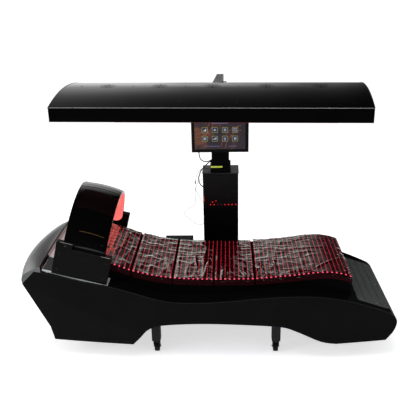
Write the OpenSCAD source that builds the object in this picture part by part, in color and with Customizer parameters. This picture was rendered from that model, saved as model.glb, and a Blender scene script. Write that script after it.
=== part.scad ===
/* [Bed body] */
// Distance from the bed's middle line to the outside of a side panel at mid length
bed_half_w = 450; // [430:5:480]
// Radius of the slow curve that the side panels follow in plan
side_curve_r = 12000; // [10000:500:16000]
// Wall of a side panel
panel_t = 12; // [8:1:16]
// Distance from mid length to the front of the nose
nose_x = 1290; // [1280:1:1300]
// Radius of the nose in plan
nose_r = 1410; // [1400:5:1430]
// Wall of the nose and of the end walls
cowl_t = 10; // [6:1:14]
// Height of the rim between the nose and the head deck
rim_z = 702; // [690:1:715]
// Distance from mid length to the rim
rim_x = 1100; // [1095:1:1110]
// Height of a side panel's top edge at the waist
waist_z = 448; // [440:1:456]
// Height of a side panel's top edge at the knees
knee_z = 488; // [480:1:496]
// Height of the flat bottom of the feet
foot_z = 124; // [118:1:132]
// Height of the arched underside between the feet
arch_z = 294; // [288:1:298]
// Slope of the undercut on the head end foot
undercut_angle = 5; // [2:0.5:7]

/* [Deck and frame] */
// Thickness of the deck boards
deck_t = 12; // [9:1:15]
// How far the deck lies below the side panels' top edge
deck_drop = 6; // [3:1:10]
// Thickness of the cross boards under the deck
rib_t = 18; // [12:1:24]
// Width of a frame tube
tube_w = 40; // [30:1:50]
// Height of a frame tube
tube_h = 50; // [40:1:52]
// Wall of a frame tube
tube_t = 3; // [2:0.5:5]
// Underside of the frame above the floor
frame_z = 305; // [304:1:312]
// Distance from the bed's middle line to the middle of a long frame tube
rail_y = 330; // [310:1:340]
// Thickness of the bottom cover
pan_t = 4; // [2:1:6]
// Width of the violet light strips
glow_w = 8; // [5:1:10]

/* [Mattress] */
// Width of the mattress
mattress_w = 640; // [600:5:650]
// Thickness of the mattress
mattress_t = 48; // [40:1:60]
// Gap between two mattress sections
seam_gap = 2; // [1:0.5:4]
// Length of one of the three middle sections
section_l = 273; // [260:1:280]
// Where the shoulder section starts
section_x = -523; // [-530:1:-515]
// How far the mattress reaches past the raised bed base on each side
mattress_over = 15; // [5:1:25]
// Wall of the raised bed base
plinth_t = 15; // [10:1:20]

/* [Hood] */
// Tilt of the head deck and of the hood
hood_tilt = 14.5; // [13:0.5:16]
// Lower head end corner of the hood, from mid length
hood_x = -1025; // [-1035:1:-1015]
// Height of that corner
hood_z = 652; // [648:1:656]
// Length of a pedestal
pedestal_l = 363; // [350:1:370]
// Height of a pedestal
pedestal_h = 192; // [180:1:200]
// Outside of the pedestals from the bed's middle line
pedestal_y = 410; // [408:1:412]
// Gap between a pedestal and the mattress
pedestal_gap = 43; // [43:1:48]
// Wall of a pedestal
pedestal_t = 6; // [4:1:9]
// Length of the hinge block on a pedestal
block_l = 105; // [98:1:112]
// Height of the hinge block above its pedestal
block_h = 38; // [34:1:42]
// Width of the hinge block
block_w = 38; // [34:1:39]
// Height above the head deck of the flaps that reach down between the pedestals
flap_low = 118; // [110:1:130]
// Corner radius of those flaps
flap_r = 52; // [40:1:60]
// Outer radius of the hood
hood_r = 370; // [366:1:371]
// Height of the hood's round axis above the head deck at mid length
hood_axis_h = 128; // [122:1:134]
// Radius that the hood's top is curved to along its length
hood_bow_r = 450; // [400:10:500]
// Length of the hood
hood_l = 276; // [268:1:286]
// How far the hood's ends lean back from its pedestals
hood_lean = 1.9; // [0.5:0.1:3]
// Thickness of the hood's outer skin
hood_t = 5; // [4:0.5:6]
// Depth of the hood from its outside to its glowing inner skin
hood_depth = 14; // [12:0.5:16]
// Thickness of the glowing inner skin
diffuser_t = 3; // [2:0.5:4]
// Diameter of a hood hinge pin
hinge_pin_d = 12; // [10:1:14]

/* [Foot step] */
// Height of the step's upper edge
tread_z = 412; // [408:1:416]
// Slope of the step
tread_slope = 18.8; // [18:0.2:19.4]
// Width of the step's ribs along the bed's width
tread_w = 660; // [620:5:680]
// Number of ribs
plank_count = 4; // [3:1:6]
// Groove between two ribs
plank_gap = 5; // [3:0.5:8]
// Thickness of a rib
plank_t = 4; // [3:0.5:6]

/* [Casters] */
// Diameter of a wheel
wheel_d = 75; // [70:1:80]
// Width of a wheel
wheel_w = 32; // [28:1:36]
// Distance that a wheel's axle trails behind its swivel pin
caster_trail = 22; // [16:1:28]
// Direction in which the wheels trail, from the foot end towards the column
caster_turn = 90; // [0:5:180]
// Width of a square leg
leg_w = 58; // [50:1:62]
// Head end legs, from mid length
leg_head_x = -375; // [-385:1:-365]
// Foot end legs, from mid length
leg_foot_x = 441; // [430:1:450]
// Diameter of a swivel stem
stem_d = 12; // [10:1:14]
// Diameter of a wheel axle
axle_d = 8; // [7:0.5:10]

/* [Column] */
// Middle of the column along the bed
column_x = 64; // [58:1:70]
// Width of the cabinet
cabinet_w = 270; // [262:1:280]
// Depth of the cabinet
cabinet_d = 200; // [195:1:215]
// Front of the cabinet from the bed's middle line
cabinet_y = 500; // [490:1:506]
// Height of the cabinet without its cap
cabinet_h = 1025; // [1015:1:1035]
// Sheet of the cabinet
cabinet_t = 3; // [2:0.5:4]
// Height of the glossy front
fascia_h = 270; // [250:1:300]
// Thickness of the glossy front
fascia_t = 4; // [3:0.5:6]
// Thickness of the cap
cap_t = 6; // [4:0.5:8]
// Width of the pole
pole_w = 132; // [126:1:136]
// Depth of the pole
pole_d = 120; // [116:1:124]
// Wall of the pole
pole_t = 4; // [3:0.5:6]
// Height of the top of the pole
pole_h = 1450; // [1440:1:1460]
// Height of the foot collar
collar_h = 58; // [54:1:64]
// Width of the inner pole
lift_w = 100; // [94:1:104]
// Depth of the inner pole
lift_d = 90; // [86:1:94]
// Height of the top of the inner pole
lift_top = 1700; // [1698:1:1700]
// Length of the inner pole
lift_l = 900; // [880:5:915]
// Thickness of the floor plate
base_t = 10; // [8:1:12]
// Distance between the anchor holes along the bed
anchor_x = 300; // [296:1:310]
// Distance between the anchor holes across the bed
anchor_y = 250; // [236:1:260]
// Diameter of an anchor hole
anchor_d = 13; // [11:0.5:14]
// Diameter of the swivel spigot under the canopy arm
spigot_d = 40; // [36:1:44]

/* [Canopy] */
// Length of the canopy
canopy_l = 1920; // [1880:10:1960]
// Width of the canopy
canopy_w = 807; // [790:1:812]
// Rise of the canopy's round top
canopy_rise = 66; // [62:1:70]
// Height of the straight band around the canopy
skirt_h = 85; // [78:1:90]
// Height of the top of that band above the floor
skirt_z = 1708; // [1706:1:1712]
// Wall of the canopy
canopy_t = 6; // [4:0.5:8]
// Distance from the pole's axis to the rear of the canopy
canopy_gap = 156.5; // [150:0.5:162]
// Angle that the canopy is swung to
canopy_swing = 3.6; // [0:0.1:6]
// Width of the canopy arm
arm_w = 50; // [44:1:56]
// Height of the canopy arm
arm_h = 49.5; // [44:0.5:52]
// Thickness of the light panel
light_panel_t = 27; // [24:1:27]
// Thickness of the tubes in the canopy
canopy_tube = 40; // [36:1:42]
// Distance between two vents
vent_pitch = 340; // [320:5:350]
// Diameter of a vent
vent_d = 92; // [80:1:100]
// Diameter of the solid middle of a vent
vent_core = 28; // [26:1:34]
// Width of a vent's slot
vent_slot = 7; // [5:0.5:8]

/* [Screen] */
// Width of the screen
screen_w = 418; // [400:1:430]
// Height of the screen
screen_h = 272; // [262:1:276]
// Thickness of the screen
screen_t = 26; // [22:1:27]
// Width of the frame around the display
bezel = 22; // [16:1:28]
// Height of the tilt axis above the floor
screen_axis_z = 1340; // [1336:1:1344]
// Tilt of the screen towards the front
screen_tilt = 4; // [0:0.5:6]
// Diameter of the tilt pin
tilt_pin_d = 10; // [8:1:12]

/* [Hidden] */
$fn = 48;
// Fineness of the canopy's large round surfaces
big_fn = 720;
// Seat of one fixed piece on another
seat = 0.3;
// Radial clearance of a pin that turns in its hole
running = 0.05;

// Smooth line through a list of points, with n steps between two of them
function blend_point(a, b, c, d, t) =
    0.5 * (2 * b + (c - a) * t + (2 * a - 5 * b + 4 * c - d) * t * t
    + (3 * b - a - 3 * c + d) * t * t * t);
function smooth(p, n) = concat(
    [for (i = [0 : len(p) - 2]) for (k = [0 : n - 1])
        blend_point(p[max(i - 1, 0)], p[i], p[i + 1], p[min(i + 2, len(p) - 1)], k / n)],
    [p[len(p) - 1]]);
function backwards(p) = [for (i = [len(p) - 1 : -1 : 0]) p[i]];
function raised(p, dz) = [for (q = p) [q[0], q[1] + dz]];

// Side outline of the bed body, as places along the bed and heights
tip_x = 1235;
tip_z = 560;
end_x = 1193;
top_line = smooth([[-1145, 653], [-1025, 637], [-843, 595], [-641, 558], [-460, 506], [-287, waist_z + 8],
    [-71, waist_z], [141, waist_z + 13], [381, knee_z - 5], [629, knee_z], [828, knee_z - 26],
    [963, 423], [1080, 382], [end_x, 333]], 4);
end_line = smooth([[end_x, 333], [1217, 309], [1231, 277], [1226, 235], [1206, 190], [1165, foot_z + 14]], 3);
foot_line = [[833, foot_z]];
arch_line = smooth([[833, foot_z], [730, foot_z + 21], [568, 226], [457, 265], [203, arch_z - 8],
    [-68, arch_z], [-318, arch_z - 15], [-414, 243], [-469, 181], [-520, foot_z]], 4);
nose_foot_line = [[-1064, foot_z + 6], [-1083, 233]];
side_outline = concat([[-tip_x, tip_z]], top_line, end_line, arch_line, nose_foot_line);
bottom_line = concat([[1165, foot_z + 14]], arch_line, [[-1064, foot_z + 6]]);
function panel_top(x) = lookup(x, top_line);

// Deck height: the sloping head deck, then the line below the panels' top edge
deck_joint_x = -662;
function head_deck_z(x) = hood_z - (x - hood_x) * tan(hood_tilt);
function deck_z(x) = x < deck_joint_x ? head_deck_z(x) : panel_top(x) - deck_drop;
// Places along the bed where a line has its points, from one place to another
function knots(line, x0, x1) = concat([x0], [for (p = line) if (p[0] > x0 + 0.5 && p[0] < x1 - 0.5) p[0]], [x1]);

// Mattress top line
mattress_x0 = -985;
mattress_x1 = 937;
seam_x = [mattress_x0, section_x, section_x + section_l, section_x + 2 * section_l,
    section_x + 3 * section_l, mattress_x1];
mattress_line = smooth([[-985, 736], [-880, 722], [-780, 702], [-649, 667], [-523, 618], [-387, 583],
    [-250, 562], [-114, 553], [23, 551], [160, 551], [296, 554], [440, 567], [590, 583], [690, 596],
    [784, 600], [870, 588], [mattress_x1, 563]], 3);
function mattress_z(x) = lookup(x, mattress_line);

// Foot step
tread_x = 975;
tread_l = (end_x - tread_x) / cos(tread_slope);

// Hood hinge in the tilted frame of the hood, along the deck and above it
hinge_u = 60;
hinge_w = pedestal_h + 20;

// Column and pole
base_w = anchor_x + 44;
base_d = anchor_y + 46;
base_y = cabinet_y + cabinet_d / 2;
pole_y = cabinet_y + 78;
cap_z = cabinet_h;
cap_top = cap_z + cap_t;
rod_d = 28;
actuator_d = 60;
actuator_top = 690;
lift_z = lift_top - lift_l;
bearing_h = 46;

// Canopy
skirt_bottom = skirt_z - skirt_h;
canopy_rear = -canopy_gap;
canopy_front = canopy_rear - canopy_w;
canopy_mid = (canopy_front + canopy_rear) / 2;
crown_z = skirt_z + canopy_rise;
crown_r = (canopy_w * canopy_w / 4 + canopy_rise * canopy_rise) / (2 * canopy_rise);
arm_z = lift_top + 0.5;
arm_l = 600;
arm_tail = 64;
frame_top = arm_z;
panel_gap = 3;
vent_count = 5;
vent_slots = 8;
vent_y = -30;
arm_front = -arm_l;

// Screen
screen_axis_y = cabinet_y - 12;
screen_back = -12;
screen_below = 132;
ear_gap = 60;

// Rear middle of the bounding box on the floor
body_right = max([for (p = end_line) p[0]]);
canopy_reach = canopy_l / 2 * sin(canopy_swing) - canopy_front * cos(canopy_swing) - pole_y;
origin_x = (body_right - nose_x) / 2;
origin_y = (base_y + base_d / 2 - max(bed_half_w, canopy_reach)) / 2;
module at_origin() { translate([-origin_x, -origin_y, 0]) children(); }

// Prism of an outline in length and height, from one place across the bed to another
module side_prism(points, y0, y1) {
    translate([0, y1, 0]) rotate([90, 0, 0]) linear_extrude(height = y1 - y0) polygon(points);
}
// Block around the middle of a place, standing on its bottom
module block(x, y, z, sx, sy, sz) { translate([x - sx / 2, y - sy / 2, z]) cube([sx, sy, sz]); }
// Round bar along the bed's width
module cross_bar(d, y0, y1) { translate([0, y0, 0]) rotate([-90, 0, 0]) cylinder(d = d, h = y1 - y0); }
// Space between the two curved sides, drawn in by an inset
plan_stations = [for (i = [-13 : 13]) i * 103];
function side_y(x) = bed_half_w - x * x / (2 * side_curve_r);
module plan_form(inset, low = 0, high = 900) {
    translate([0, 0, low]) linear_extrude(height = high - low)
        polygon(concat([for (x = plan_stations) [x, inset - side_y(x)]],
            [for (x = backwards(plan_stations)) [x, side_y(x) - inset]]));
}

// Side panels
module panel_form(inset, low = 0, high = 900) {
    translate([0, 0, low]) linear_extrude(height = high - low)
        polygon(concat([for (x = plan_stations) [x, inset - side_y(x)]], [[1339, 600], [-1339, 600]]));
}
// The undercut turns the same curve about the crease on the head end foot
module undercut_form(inset) {
    crease = [-835, -bed_half_w + inset + 29, 377];
    translate(crease) rotate(a = undercut_angle, v = [690, 0, -305]) translate(-crease)
        panel_form(inset, -700, 1700);
}
module body_space(inset) {
    intersection() {
        plan_form(inset);
        undercut_form(inset);
        mirror([0, 1, 0]) undercut_form(inset);
    }
}
module side_panel() {
    intersection() {
        side_prism(side_outline, -bed_half_w - 20, -bed_half_w + 200);
        difference() {
            intersection() {
                panel_form(0);
                undercut_form(0);
            }
            intersection() {
                panel_form(panel_t, -1, 901);
                undercut_form(panel_t);
            }
        }
    }
}
module side_panel_front() { at_origin() color([0.07, 0.07, 0.075]) side_panel(); }
module side_panel_rear() { at_origin() color([0.07, 0.07, 0.075]) mirror([0, 1, 0]) side_panel(); }

// Nose: a turned shape about the middle of the nose curve
nose_line = smooth([[nose_r - 193, rim_z], [nose_r - 155, rim_z - 5], [nose_r - 100, 678],
    [nose_r - 48, 650], [nose_r - 12, 620], [nose_r, 592], [nose_r - 2, tip_z]], 3);
nose_low = [[nose_r - 150, 233], [nose_r - 166, foot_z + 7]];
module nose_turn(points) {
    translate([nose_r - nose_x, 0, 0]) rotate_extrude($fn = 360) polygon(points);
}
module nose_shell() {
    inner = [for (p = backwards(concat(nose_line, nose_low))) [p[0] - cowl_t, p[1] > 600 ? p[1] - cowl_t : p[1]]];
    nose_turn(concat(nose_line, nose_low, inner));
}
module nose_solid() {
    nose_turn(concat(nose_line, [[nose_r - 150, tip_z], [nose_r - 240, tip_z], [nose_r - 240, rim_z]]));
}
module head_cowl() {
    at_origin() color([0.22, 0.22, 0.23]) intersection() {
        translate([-nose_x - 10, -500, 0]) cube([nose_x + 10 - rim_x, 1000, 800]);
        union() {
            intersection() {
                nose_shell();
                body_space(panel_t + seat);
            }
            difference() {
                intersection() {
                    nose_solid();
                    plan_form(0);
                }
                plan_form(panel_t + 4);
                side_prism(concat([[-tip_x - 60, 500], [-tip_x - 60, tip_z + seat]],
                    raised(concat([[-tip_x, tip_z]], top_line), seat), [[0, 500]]), -500, 500);
            }
        }
    }
}

// Sloping frame of the head deck and the hood, along the deck from the hood's head end
module hood_frame() { translate([hood_x, 0, hood_z]) rotate([0, hood_tilt, 0]) children(); }
module head_deck() {
    u0 = (-rim_x + cowl_t + seat - hood_x) / cos(hood_tilt);
    u1 = (deck_joint_x - 3 - hood_x) / cos(hood_tilt);
    at_origin() color([0.1, 0.1, 0.11]) intersection() {
        hood_frame() translate([u0, -500, -deck_t]) cube([u1 - u0, 1000, deck_t]);
        plan_form(panel_t + seat);
    }
}

// Deck, its cross boards and the raised bed base
function deck_points(x0, x1, dz) = [for (x = knots(top_line, x0, x1)) [x, deck_z(x) + dz]];
module deck_board() {
    at_origin() color([0.06, 0.06, 0.065]) intersection() {
        side_prism(concat(deck_points(deck_joint_x, tread_x - 1, 0),
            backwards(deck_points(deck_joint_x, tread_x - 1, -deck_t))), -500, 500);
        plan_form(panel_t + seat);
    }
}
rib_places = [-1060, -900, -640, -400, -150, 150, 400, 640, 860, 1050];
rib_end = 1080;
module deck_ribs() {
    below = concat(
        [for (i = [0 : 12]) let (x = -1085 + i * 35) [x, head_deck_z(x) - deck_t / cos(hood_tilt)]],
        deck_points(deck_joint_x, tread_x - 1, -deck_t),
        [for (x = [tread_x + 1, rib_end]) [x, tread_z - (x - tread_x) * tan(tread_slope)
            - (plank_t + deck_t) / cos(tread_slope)]]);
    at_origin() color([0.55, 0.45, 0.33]) intersection() {
        side_prism(concat(below, [[rib_end, frame_z + tube_h], [-1085, frame_z + tube_h]]), -500, 500);
        body_space(panel_t + seat);
        union() {
            for (x = rib_places) block(x, 0, 0, rib_t, 1000, 900);
        }
    }
}
module bed_plinth() {
    x0 = mattress_x0 + 10;
    x1 = mattress_x1 - 7;
    w = mattress_w - 2 * mattress_over;
    top = [for (x = knots(mattress_line, x0, x1)) [x, mattress_z(x) - mattress_t]];
    head = [[deck_joint_x, head_deck_z(deck_joint_x)], [x0, head_deck_z(x0)]];
    inside = [for (p = top) if (p[0] > x0 + plinth_t && p[0] < x1 - plinth_t) p];
    at_origin() color([0.05, 0.05, 0.05]) difference() {
        side_prism(concat(top, backwards(deck_points(deck_joint_x, x1, 0)), head), -w / 2, w / 2);
        side_prism(concat(raised(inside, -plinth_t), [for (p = backwards(inside)) [p[0], deck_z(p[0]) - 30]]),
            -w / 2 + plinth_t, w / 2 - plinth_t);
    }
}

// Mattress sections between two seams
module mattress_section(i) {
    x0 = seam_x[i] + (i == 0 ? 0 : seam_gap / 2);
    x1 = seam_x[i + 1] - (i == 4 ? 0 : seam_gap / 2);
    xs = knots(mattress_line, x0, x1);
    at_origin() color([0.25, 0.03, 0.04])
        side_prism(concat([for (x = xs) [x, mattress_z(x)]],
            [for (x = backwards(xs)) [x, mattress_z(x) - mattress_t + seat]]), -mattress_w / 2, mattress_w / 2);
}
module mattress_head() { mattress_section(0); }
module mattress_shoulder() { mattress_section(1); }
module mattress_back() { mattress_section(2); }
module mattress_seat() { mattress_section(3); }
module mattress_leg() { mattress_section(4); }

// Frame, legs and bottom cover
rail_x0 = -960;
rail_x1 = 1055;
cross_places = [-940, -640, leg_head_x, 20, leg_foot_x, 760, 1035];
outrigger_h = 40;
outrigger_z = arch_z - 12 - outrigger_h;
module frame_tubes(inset) {
    for (s = [-1, 1]) translate([rail_x0 - inset, s * rail_y - tube_w / 2 + inset, frame_z + inset])
        cube([rail_x1 - rail_x0 + 2 * inset, tube_w - 2 * inset, tube_h - 2 * inset]);
    for (x = cross_places) block(x, 0, frame_z + inset, tube_w - 2 * inset, 2 * rail_y, tube_h - 2 * inset);
}
module base_frame() {
    at_origin() color([0.3, 0.3, 0.32]) difference() {
        frame_tubes(0);
        frame_tubes(tube_t);
    }
}
module column_outrigger() {
    at_origin() color([0.12, 0.12, 0.12]) union() {
        difference() {
            union() {
                block(column_x, rail_y, outrigger_z, leg_w, tube_w, frame_z - outrigger_z);
                translate([column_x - leg_w / 2, rail_y - tube_w / 2, outrigger_z])
                    cube([leg_w, cabinet_y - rail_y + tube_w / 2, outrigger_h]);
            }
            translate([column_x - leg_w / 2 + tube_t, rail_y - tube_w / 2 - 1, outrigger_z + tube_t])
                cube([leg_w - 2 * tube_t, cabinet_y - rail_y + tube_w / 2 - 7, outrigger_h - 2 * tube_t]);
        }
        translate([column_x - leg_w, cabinet_y - 8, outrigger_z - 20]) cube([2 * leg_w, 8, outrigger_h + 40]);
    }
}
swivel_h = 16;
fork_top = wheel_d + 12;
leg_z = fork_top + swivel_h;
module at_legs() { for (x = [leg_head_x, leg_foot_x], s = [-1, 1]) translate([x, s * rail_y, 0]) children(); }
module caster_legs() {
    at_origin() color([0.06, 0.06, 0.06]) at_legs() difference() {
        block(0, 0, leg_z, leg_w, leg_w, frame_z - leg_z);
        translate([0, 0, leg_z - 1]) cylinder(d = stem_d + 2 * running, h = 61);
    }
}
leg_places = [[leg_head_x, -rail_y], [leg_head_x, rail_y], [leg_foot_x, -rail_y], [leg_foot_x, rail_y]];
fork_t = 4;
fork_gap = wheel_w + 3;
module caster_fork(i) {
    at_origin() color([0.09, 0.09, 0.09]) translate([leg_places[i][0], leg_places[i][1], 0]) rotate([0, 0, caster_turn]) {
        difference() {
            union() {
                translate([0, 0, fork_top]) cylinder(d = stem_d, h = swivel_h + 55);
                translate([0, 0, fork_top + fork_t]) cylinder(d = leg_w - 10, h = swivel_h - fork_t - 1);
                block(0, 0, fork_top, 50, fork_gap + 2 * fork_t, fork_t);
                for (s = [-1, 1]) translate([0, s * (fork_gap + fork_t) / 2, 0])
                    translate([0, fork_t / 2, 0]) rotate([90, 0, 0]) linear_extrude(height = fork_t)
                        polygon([[-25, fork_top + fork_t], [25, fork_top + fork_t],
                            [caster_trail + 12, wheel_d / 2 - 4], [caster_trail + 6, wheel_d / 2 - 10],
                            [caster_trail - 6, wheel_d / 2 - 10], [caster_trail - 12, wheel_d / 2 - 2]]);
            }
        }
        translate([caster_trail, 0, wheel_d / 2]) cross_bar(axle_d, -fork_gap / 2 - fork_t - 3, fork_gap / 2 + fork_t + 3);
    }
}
module caster_fork_1() { caster_fork(0); }
module caster_fork_2() { caster_fork(1); }
module caster_fork_3() { caster_fork(2); }
module caster_fork_4() { caster_fork(3); }
module caster_wheel(i) {
    at_origin() color([0.12, 0.12, 0.12]) translate([leg_places[i][0], leg_places[i][1], 0]) rotate([0, 0, caster_turn])
        translate([caster_trail, 0, wheel_d / 2]) difference() {
            rotate([90, 0, 0]) rotate_extrude() polygon([[0, -wheel_w / 2 - 1], [12, -wheel_w / 2 - 1],
                [13, -wheel_w / 2 + 4], [wheel_d / 2 - 12, -wheel_w / 2 + 4], [wheel_d / 2 - 10, -wheel_w / 2],
                [wheel_d / 2 - 3, -wheel_w / 2], [wheel_d / 2, -wheel_w / 2 + 3], [wheel_d / 2, wheel_w / 2 - 3],
                [wheel_d / 2 - 3, wheel_w / 2], [wheel_d / 2 - 10, wheel_w / 2],
                [wheel_d / 2 - 12, wheel_w / 2 - 4], [13, wheel_w / 2 - 4], [12, wheel_w / 2 + 1],
                [0, wheel_w / 2 + 1]]);
            cross_bar(axle_d + 2 * running, -wheel_w, wheel_w);
        }
}
module caster_wheel_1() { caster_wheel(0); }
module caster_wheel_2() { caster_wheel(1); }
module caster_wheel_3() { caster_wheel(2); }
module caster_wheel_4() { caster_wheel(3); }
pan_gap = 4;
module belly_pan() {
    at_origin() color([0.05, 0.05, 0.05]) difference() {
        intersection() {
            side_prism(concat(raised(bottom_line, pan_gap + pan_t), backwards(raised(bottom_line, pan_gap))), -500, 500);
            body_space(panel_t + seat);
            block(45, 0, 0, 2200, 1000, 500);
        }
        at_legs() block(0, 0, 0, leg_w + 2, leg_w + 2, 500);
        block(column_x, rail_y, 0, leg_w + 2, tube_w + 2, 500);
    }
}
module underglow_strips() {
    run = [for (p = arch_line) if (p[0] < 470 && p[0] > -330) p];
    at_origin() color([0.45, 0.2, 0.9]) for (s = [0, 1]) mirror([0, s, 0]) intersection() {
        side_prism(concat(raised(run, pan_gap - seat), backwards(raised(run, 1))), -500, 0);
        difference() {
            plan_form(panel_t + seat);
            plan_form(panel_t + seat + glow_w);
        }
    }
}

// Foot step and its end wall
module tread_frame() { translate([tread_x, 0, tread_z]) rotate([0, tread_slope, 0]) children(); }
module tread_board() {
    at_origin() color([0.06, 0.06, 0.06]) intersection() {
        tread_frame() translate([0, -500, -plank_t - deck_t]) cube([tread_l, 1000, deck_t]);
        plan_form(panel_t + seat);
        translate([tread_x, -500, 0]) cube([500, 1000, 900]);
    }
}
tread_corner = 24;
module tread_planks() {
    pitch = tread_l / plank_count;
    l = tread_l - plank_gap;
    at_origin() color([0.3, 0.31, 0.3]) tread_frame() intersection() {
        for (k = [0 : plank_count - 1]) translate([k * pitch + plank_gap / 2, -tread_w / 2, -plank_t])
            cube([pitch - plank_gap, tread_w, plank_t]);
        translate([plank_gap / 2, 0, -plank_t - 1]) union() {
            translate([0, -tread_w / 2 + tread_corner, 0]) cube([l, tread_w - 2 * tread_corner, plank_t + 2]);
            translate([tread_corner, -tread_w / 2, 0]) cube([l - 2 * tread_corner, tread_w, plank_t + 2]);
            for (x = [tread_corner, l - tread_corner], s = [-1, 1])
                translate([x, s * (tread_w / 2 - tread_corner), 0]) cylinder(r = tread_corner, h = plank_t + 2);
        }
    }
}
module foot_end_wall() {
    at_origin() color([0.07, 0.07, 0.075]) intersection() {
        side_prism(concat([for (p = end_line) [p[0] + 0, p[1]]], backwards([for (p = end_line) [p[0] - cowl_t, p[1]]])),
            -500, 500);
        plan_form(panel_t + seat);
        tread_frame() translate([-200, -500, -500]) cube([tread_l + 300, 1000, 500 - plank_t]);
        difference() {
            translate([1000, -500, 0]) cube([400, 1000, 900]);
            tread_frame() translate([0, -500, -plank_t - deck_t]) cube([tread_l + seat, 1000, 100]);
        }
    }
}
box_x = -256;
box_w = 210;
box_d = 80;
box_h = 548;
box_gap = 30;
module side_control_box() {
    at_origin() color([0.05, 0.05, 0.05]) difference() {
        translate([box_x - box_w / 2, mattress_w / 2 + box_gap, 400]) cube([box_w, box_d, box_h - 400]);
        side_prism(concat([[-600, 300]], deck_points(-600, 0, seat), [[0, 300]]), 300, 500);
    }
}

// Hood pedestals with their hinge blocks and pins, seen in the sloping frame
pedestal_w = pedestal_y - mattress_w / 2 - pedestal_gap;
pin_end = hood_r - 19;
module pedestal() {
    hood_frame() union() {
        difference() {
        union() {
            translate([0, -pedestal_y, 0]) cube([pedestal_l, pedestal_w, pedestal_h]);
            translate([0, -pedestal_y, pedestal_h - 1]) cube([block_l, block_w, block_h + 1]);
        }
        translate([pedestal_t, -pedestal_y + pedestal_t, -1])
            cube([pedestal_l - 2 * pedestal_t, pedestal_w - 2 * pedestal_t, pedestal_h + 1 - pedestal_t]);
        }
        translate([hinge_u, 0, hinge_w]) cross_bar(hinge_pin_d, -pedestal_y + block_w - 1, -pin_end);
    }
}
module pedestal_front() { at_origin() color([0.07, 0.07, 0.075]) pedestal(); }
module pedestal_rear() { at_origin() color([0.07, 0.07, 0.075]) mirror([0, 1, 0]) pedestal(); }

// Hood: a round arch between two leaning ends
hood_low = pedestal_h + 2;
hood_end_t = 4;
hood_mid = 165;
module hood_stand() { translate([34, 0, 300]) rotate([0, -hood_lean, 0]) children(); }
module hood_slab(inset) {
    hood_stand() translate([inset, -450, -350]) cube([hood_l - 2 * inset, 900, 700]);
}
module hood_flap(r, inset, top) {
    low = flap_low - 300 + inset;
    l = hood_l - 2 * inset;
    corner = flap_r - inset;
    intersection() {
        hood_round(r, flap_low - 20);
        hood_stand() translate([inset, 0, 0]) union() {
            translate([corner, -450, low]) cube([l - 2 * corner, 900, top - 300 - low]);
            translate([0, -450, low + corner]) cube([l, 900, top - 300 - low - corner]);
            for (u = [corner, l - corner]) translate([u, 0, low + corner])
                cross_bar(2 * corner, -450, 450);
        }
    }
}
module hood_round(r, low) {
    intersection() {
        translate([hood_mid, 0, hood_axis_h - hood_bow_r]) rotate([90, 0, 0]) rotate_extrude($fn = 360)
            translate([hood_bow_r, 0]) circle(r = r, $fn = 360);
        translate([-200, -500, low]) cube([900, 1000, 900]);
    }
}
module hood_shell() {
    boss_d = 2 * (hinge_w - hood_low) - 2;
    at_origin() color([0.05, 0.05, 0.05]) hood_frame() difference() {
        union() {
            difference() {
                union() {
                    intersection() {
                        hood_round(hood_r, hood_low);
                        hood_slab(0);
                    }
                    translate([hinge_u, 0, hinge_w]) for (s = [-1, 1]) mirror([0, s > 0 ? 1 : 0, 0])
                        cross_bar(boss_d, -pedestal_y + block_w + 0.5, -pin_end + 4);
                }
                difference() {
                    intersection() {
                        hood_round(hood_r - hood_t, hood_low + 4);
                        hood_slab(hood_end_t);
                    }
                    translate([hinge_u, 0, hinge_w]) for (s = [-1, 1]) mirror([0, s > 0 ? 1 : 0, 0])
                        cross_bar(boss_d, -pedestal_y + block_w + 0.5, -pin_end + 4);
                }
                translate([-100, -500, 0]) cube([hinge_u + 102, 1000, hood_low + 9]);
            }
            hood_flap(hood_r - hood_depth + hood_t, 0, hood_low + 20);
        }
        hood_round(hood_r - hood_depth, 0);
        translate([hinge_u, 0, hinge_w]) for (s = [-1, 1]) mirror([0, s > 0 ? 1 : 0, 0])
            cross_bar(hinge_pin_d + 2 * running, -pedestal_y, -pin_end + 2.5);
    }
}
module hood_diffuser() {
    at_origin() color([0.95, 0.3, 0.3]) hood_frame() difference() {
        hood_flap(hood_r - hood_depth - seat, 1, 700);
        hood_round(hood_r - hood_depth - seat - diffuser_t, 0);
    }
}
// Column
module column_base_plate() {
    at_origin() color([0.12, 0.12, 0.12]) difference() {
        block(column_x, base_y, 0, base_w, base_d, base_t);
        for (i = [-1, 1], j = [-1, 1]) translate([column_x + i * anchor_x / 2, base_y + j * anchor_y / 2, -1])
            cylinder(d = anchor_d, h = base_t + 2);
    }
}
inlet_z = 170;
inlet_w = 54;
inlet_h = 84;
inlet_d = 36;
module column_casing() {
    at_origin() color([0.04, 0.04, 0.04]) difference() {
        block(column_x, base_y, base_t, cabinet_w, cabinet_d, cabinet_h - base_t);
        block(column_x, base_y, base_t - 1, cabinet_w - 2 * cabinet_t, cabinet_d - 2 * cabinet_t, cabinet_h);
        block(column_x, cabinet_y + cabinet_d, inlet_z - seat, inlet_w + 2 * seat, 20, inlet_h + 2 * seat);
    }
}
module column_fascia() {
    at_origin() color([0.03, 0.03, 0.03])
        translate([column_x - cabinet_w / 2 + 1, cabinet_y - fascia_t, cabinet_h - fascia_h - 2])
            cube([cabinet_w - 2, fascia_t, fascia_h]);
}
module column_cap() {
    at_origin() color([0.1, 0.1, 0.1]) difference() {
        block(column_x, base_y, cap_z, cabinet_w + 6, cabinet_d + 6, cap_t);
        block(column_x, pole_y, cap_z - 1, pole_w + 2 * seat, pole_d + 2 * seat, cap_t + 2);
    }
}
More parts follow.
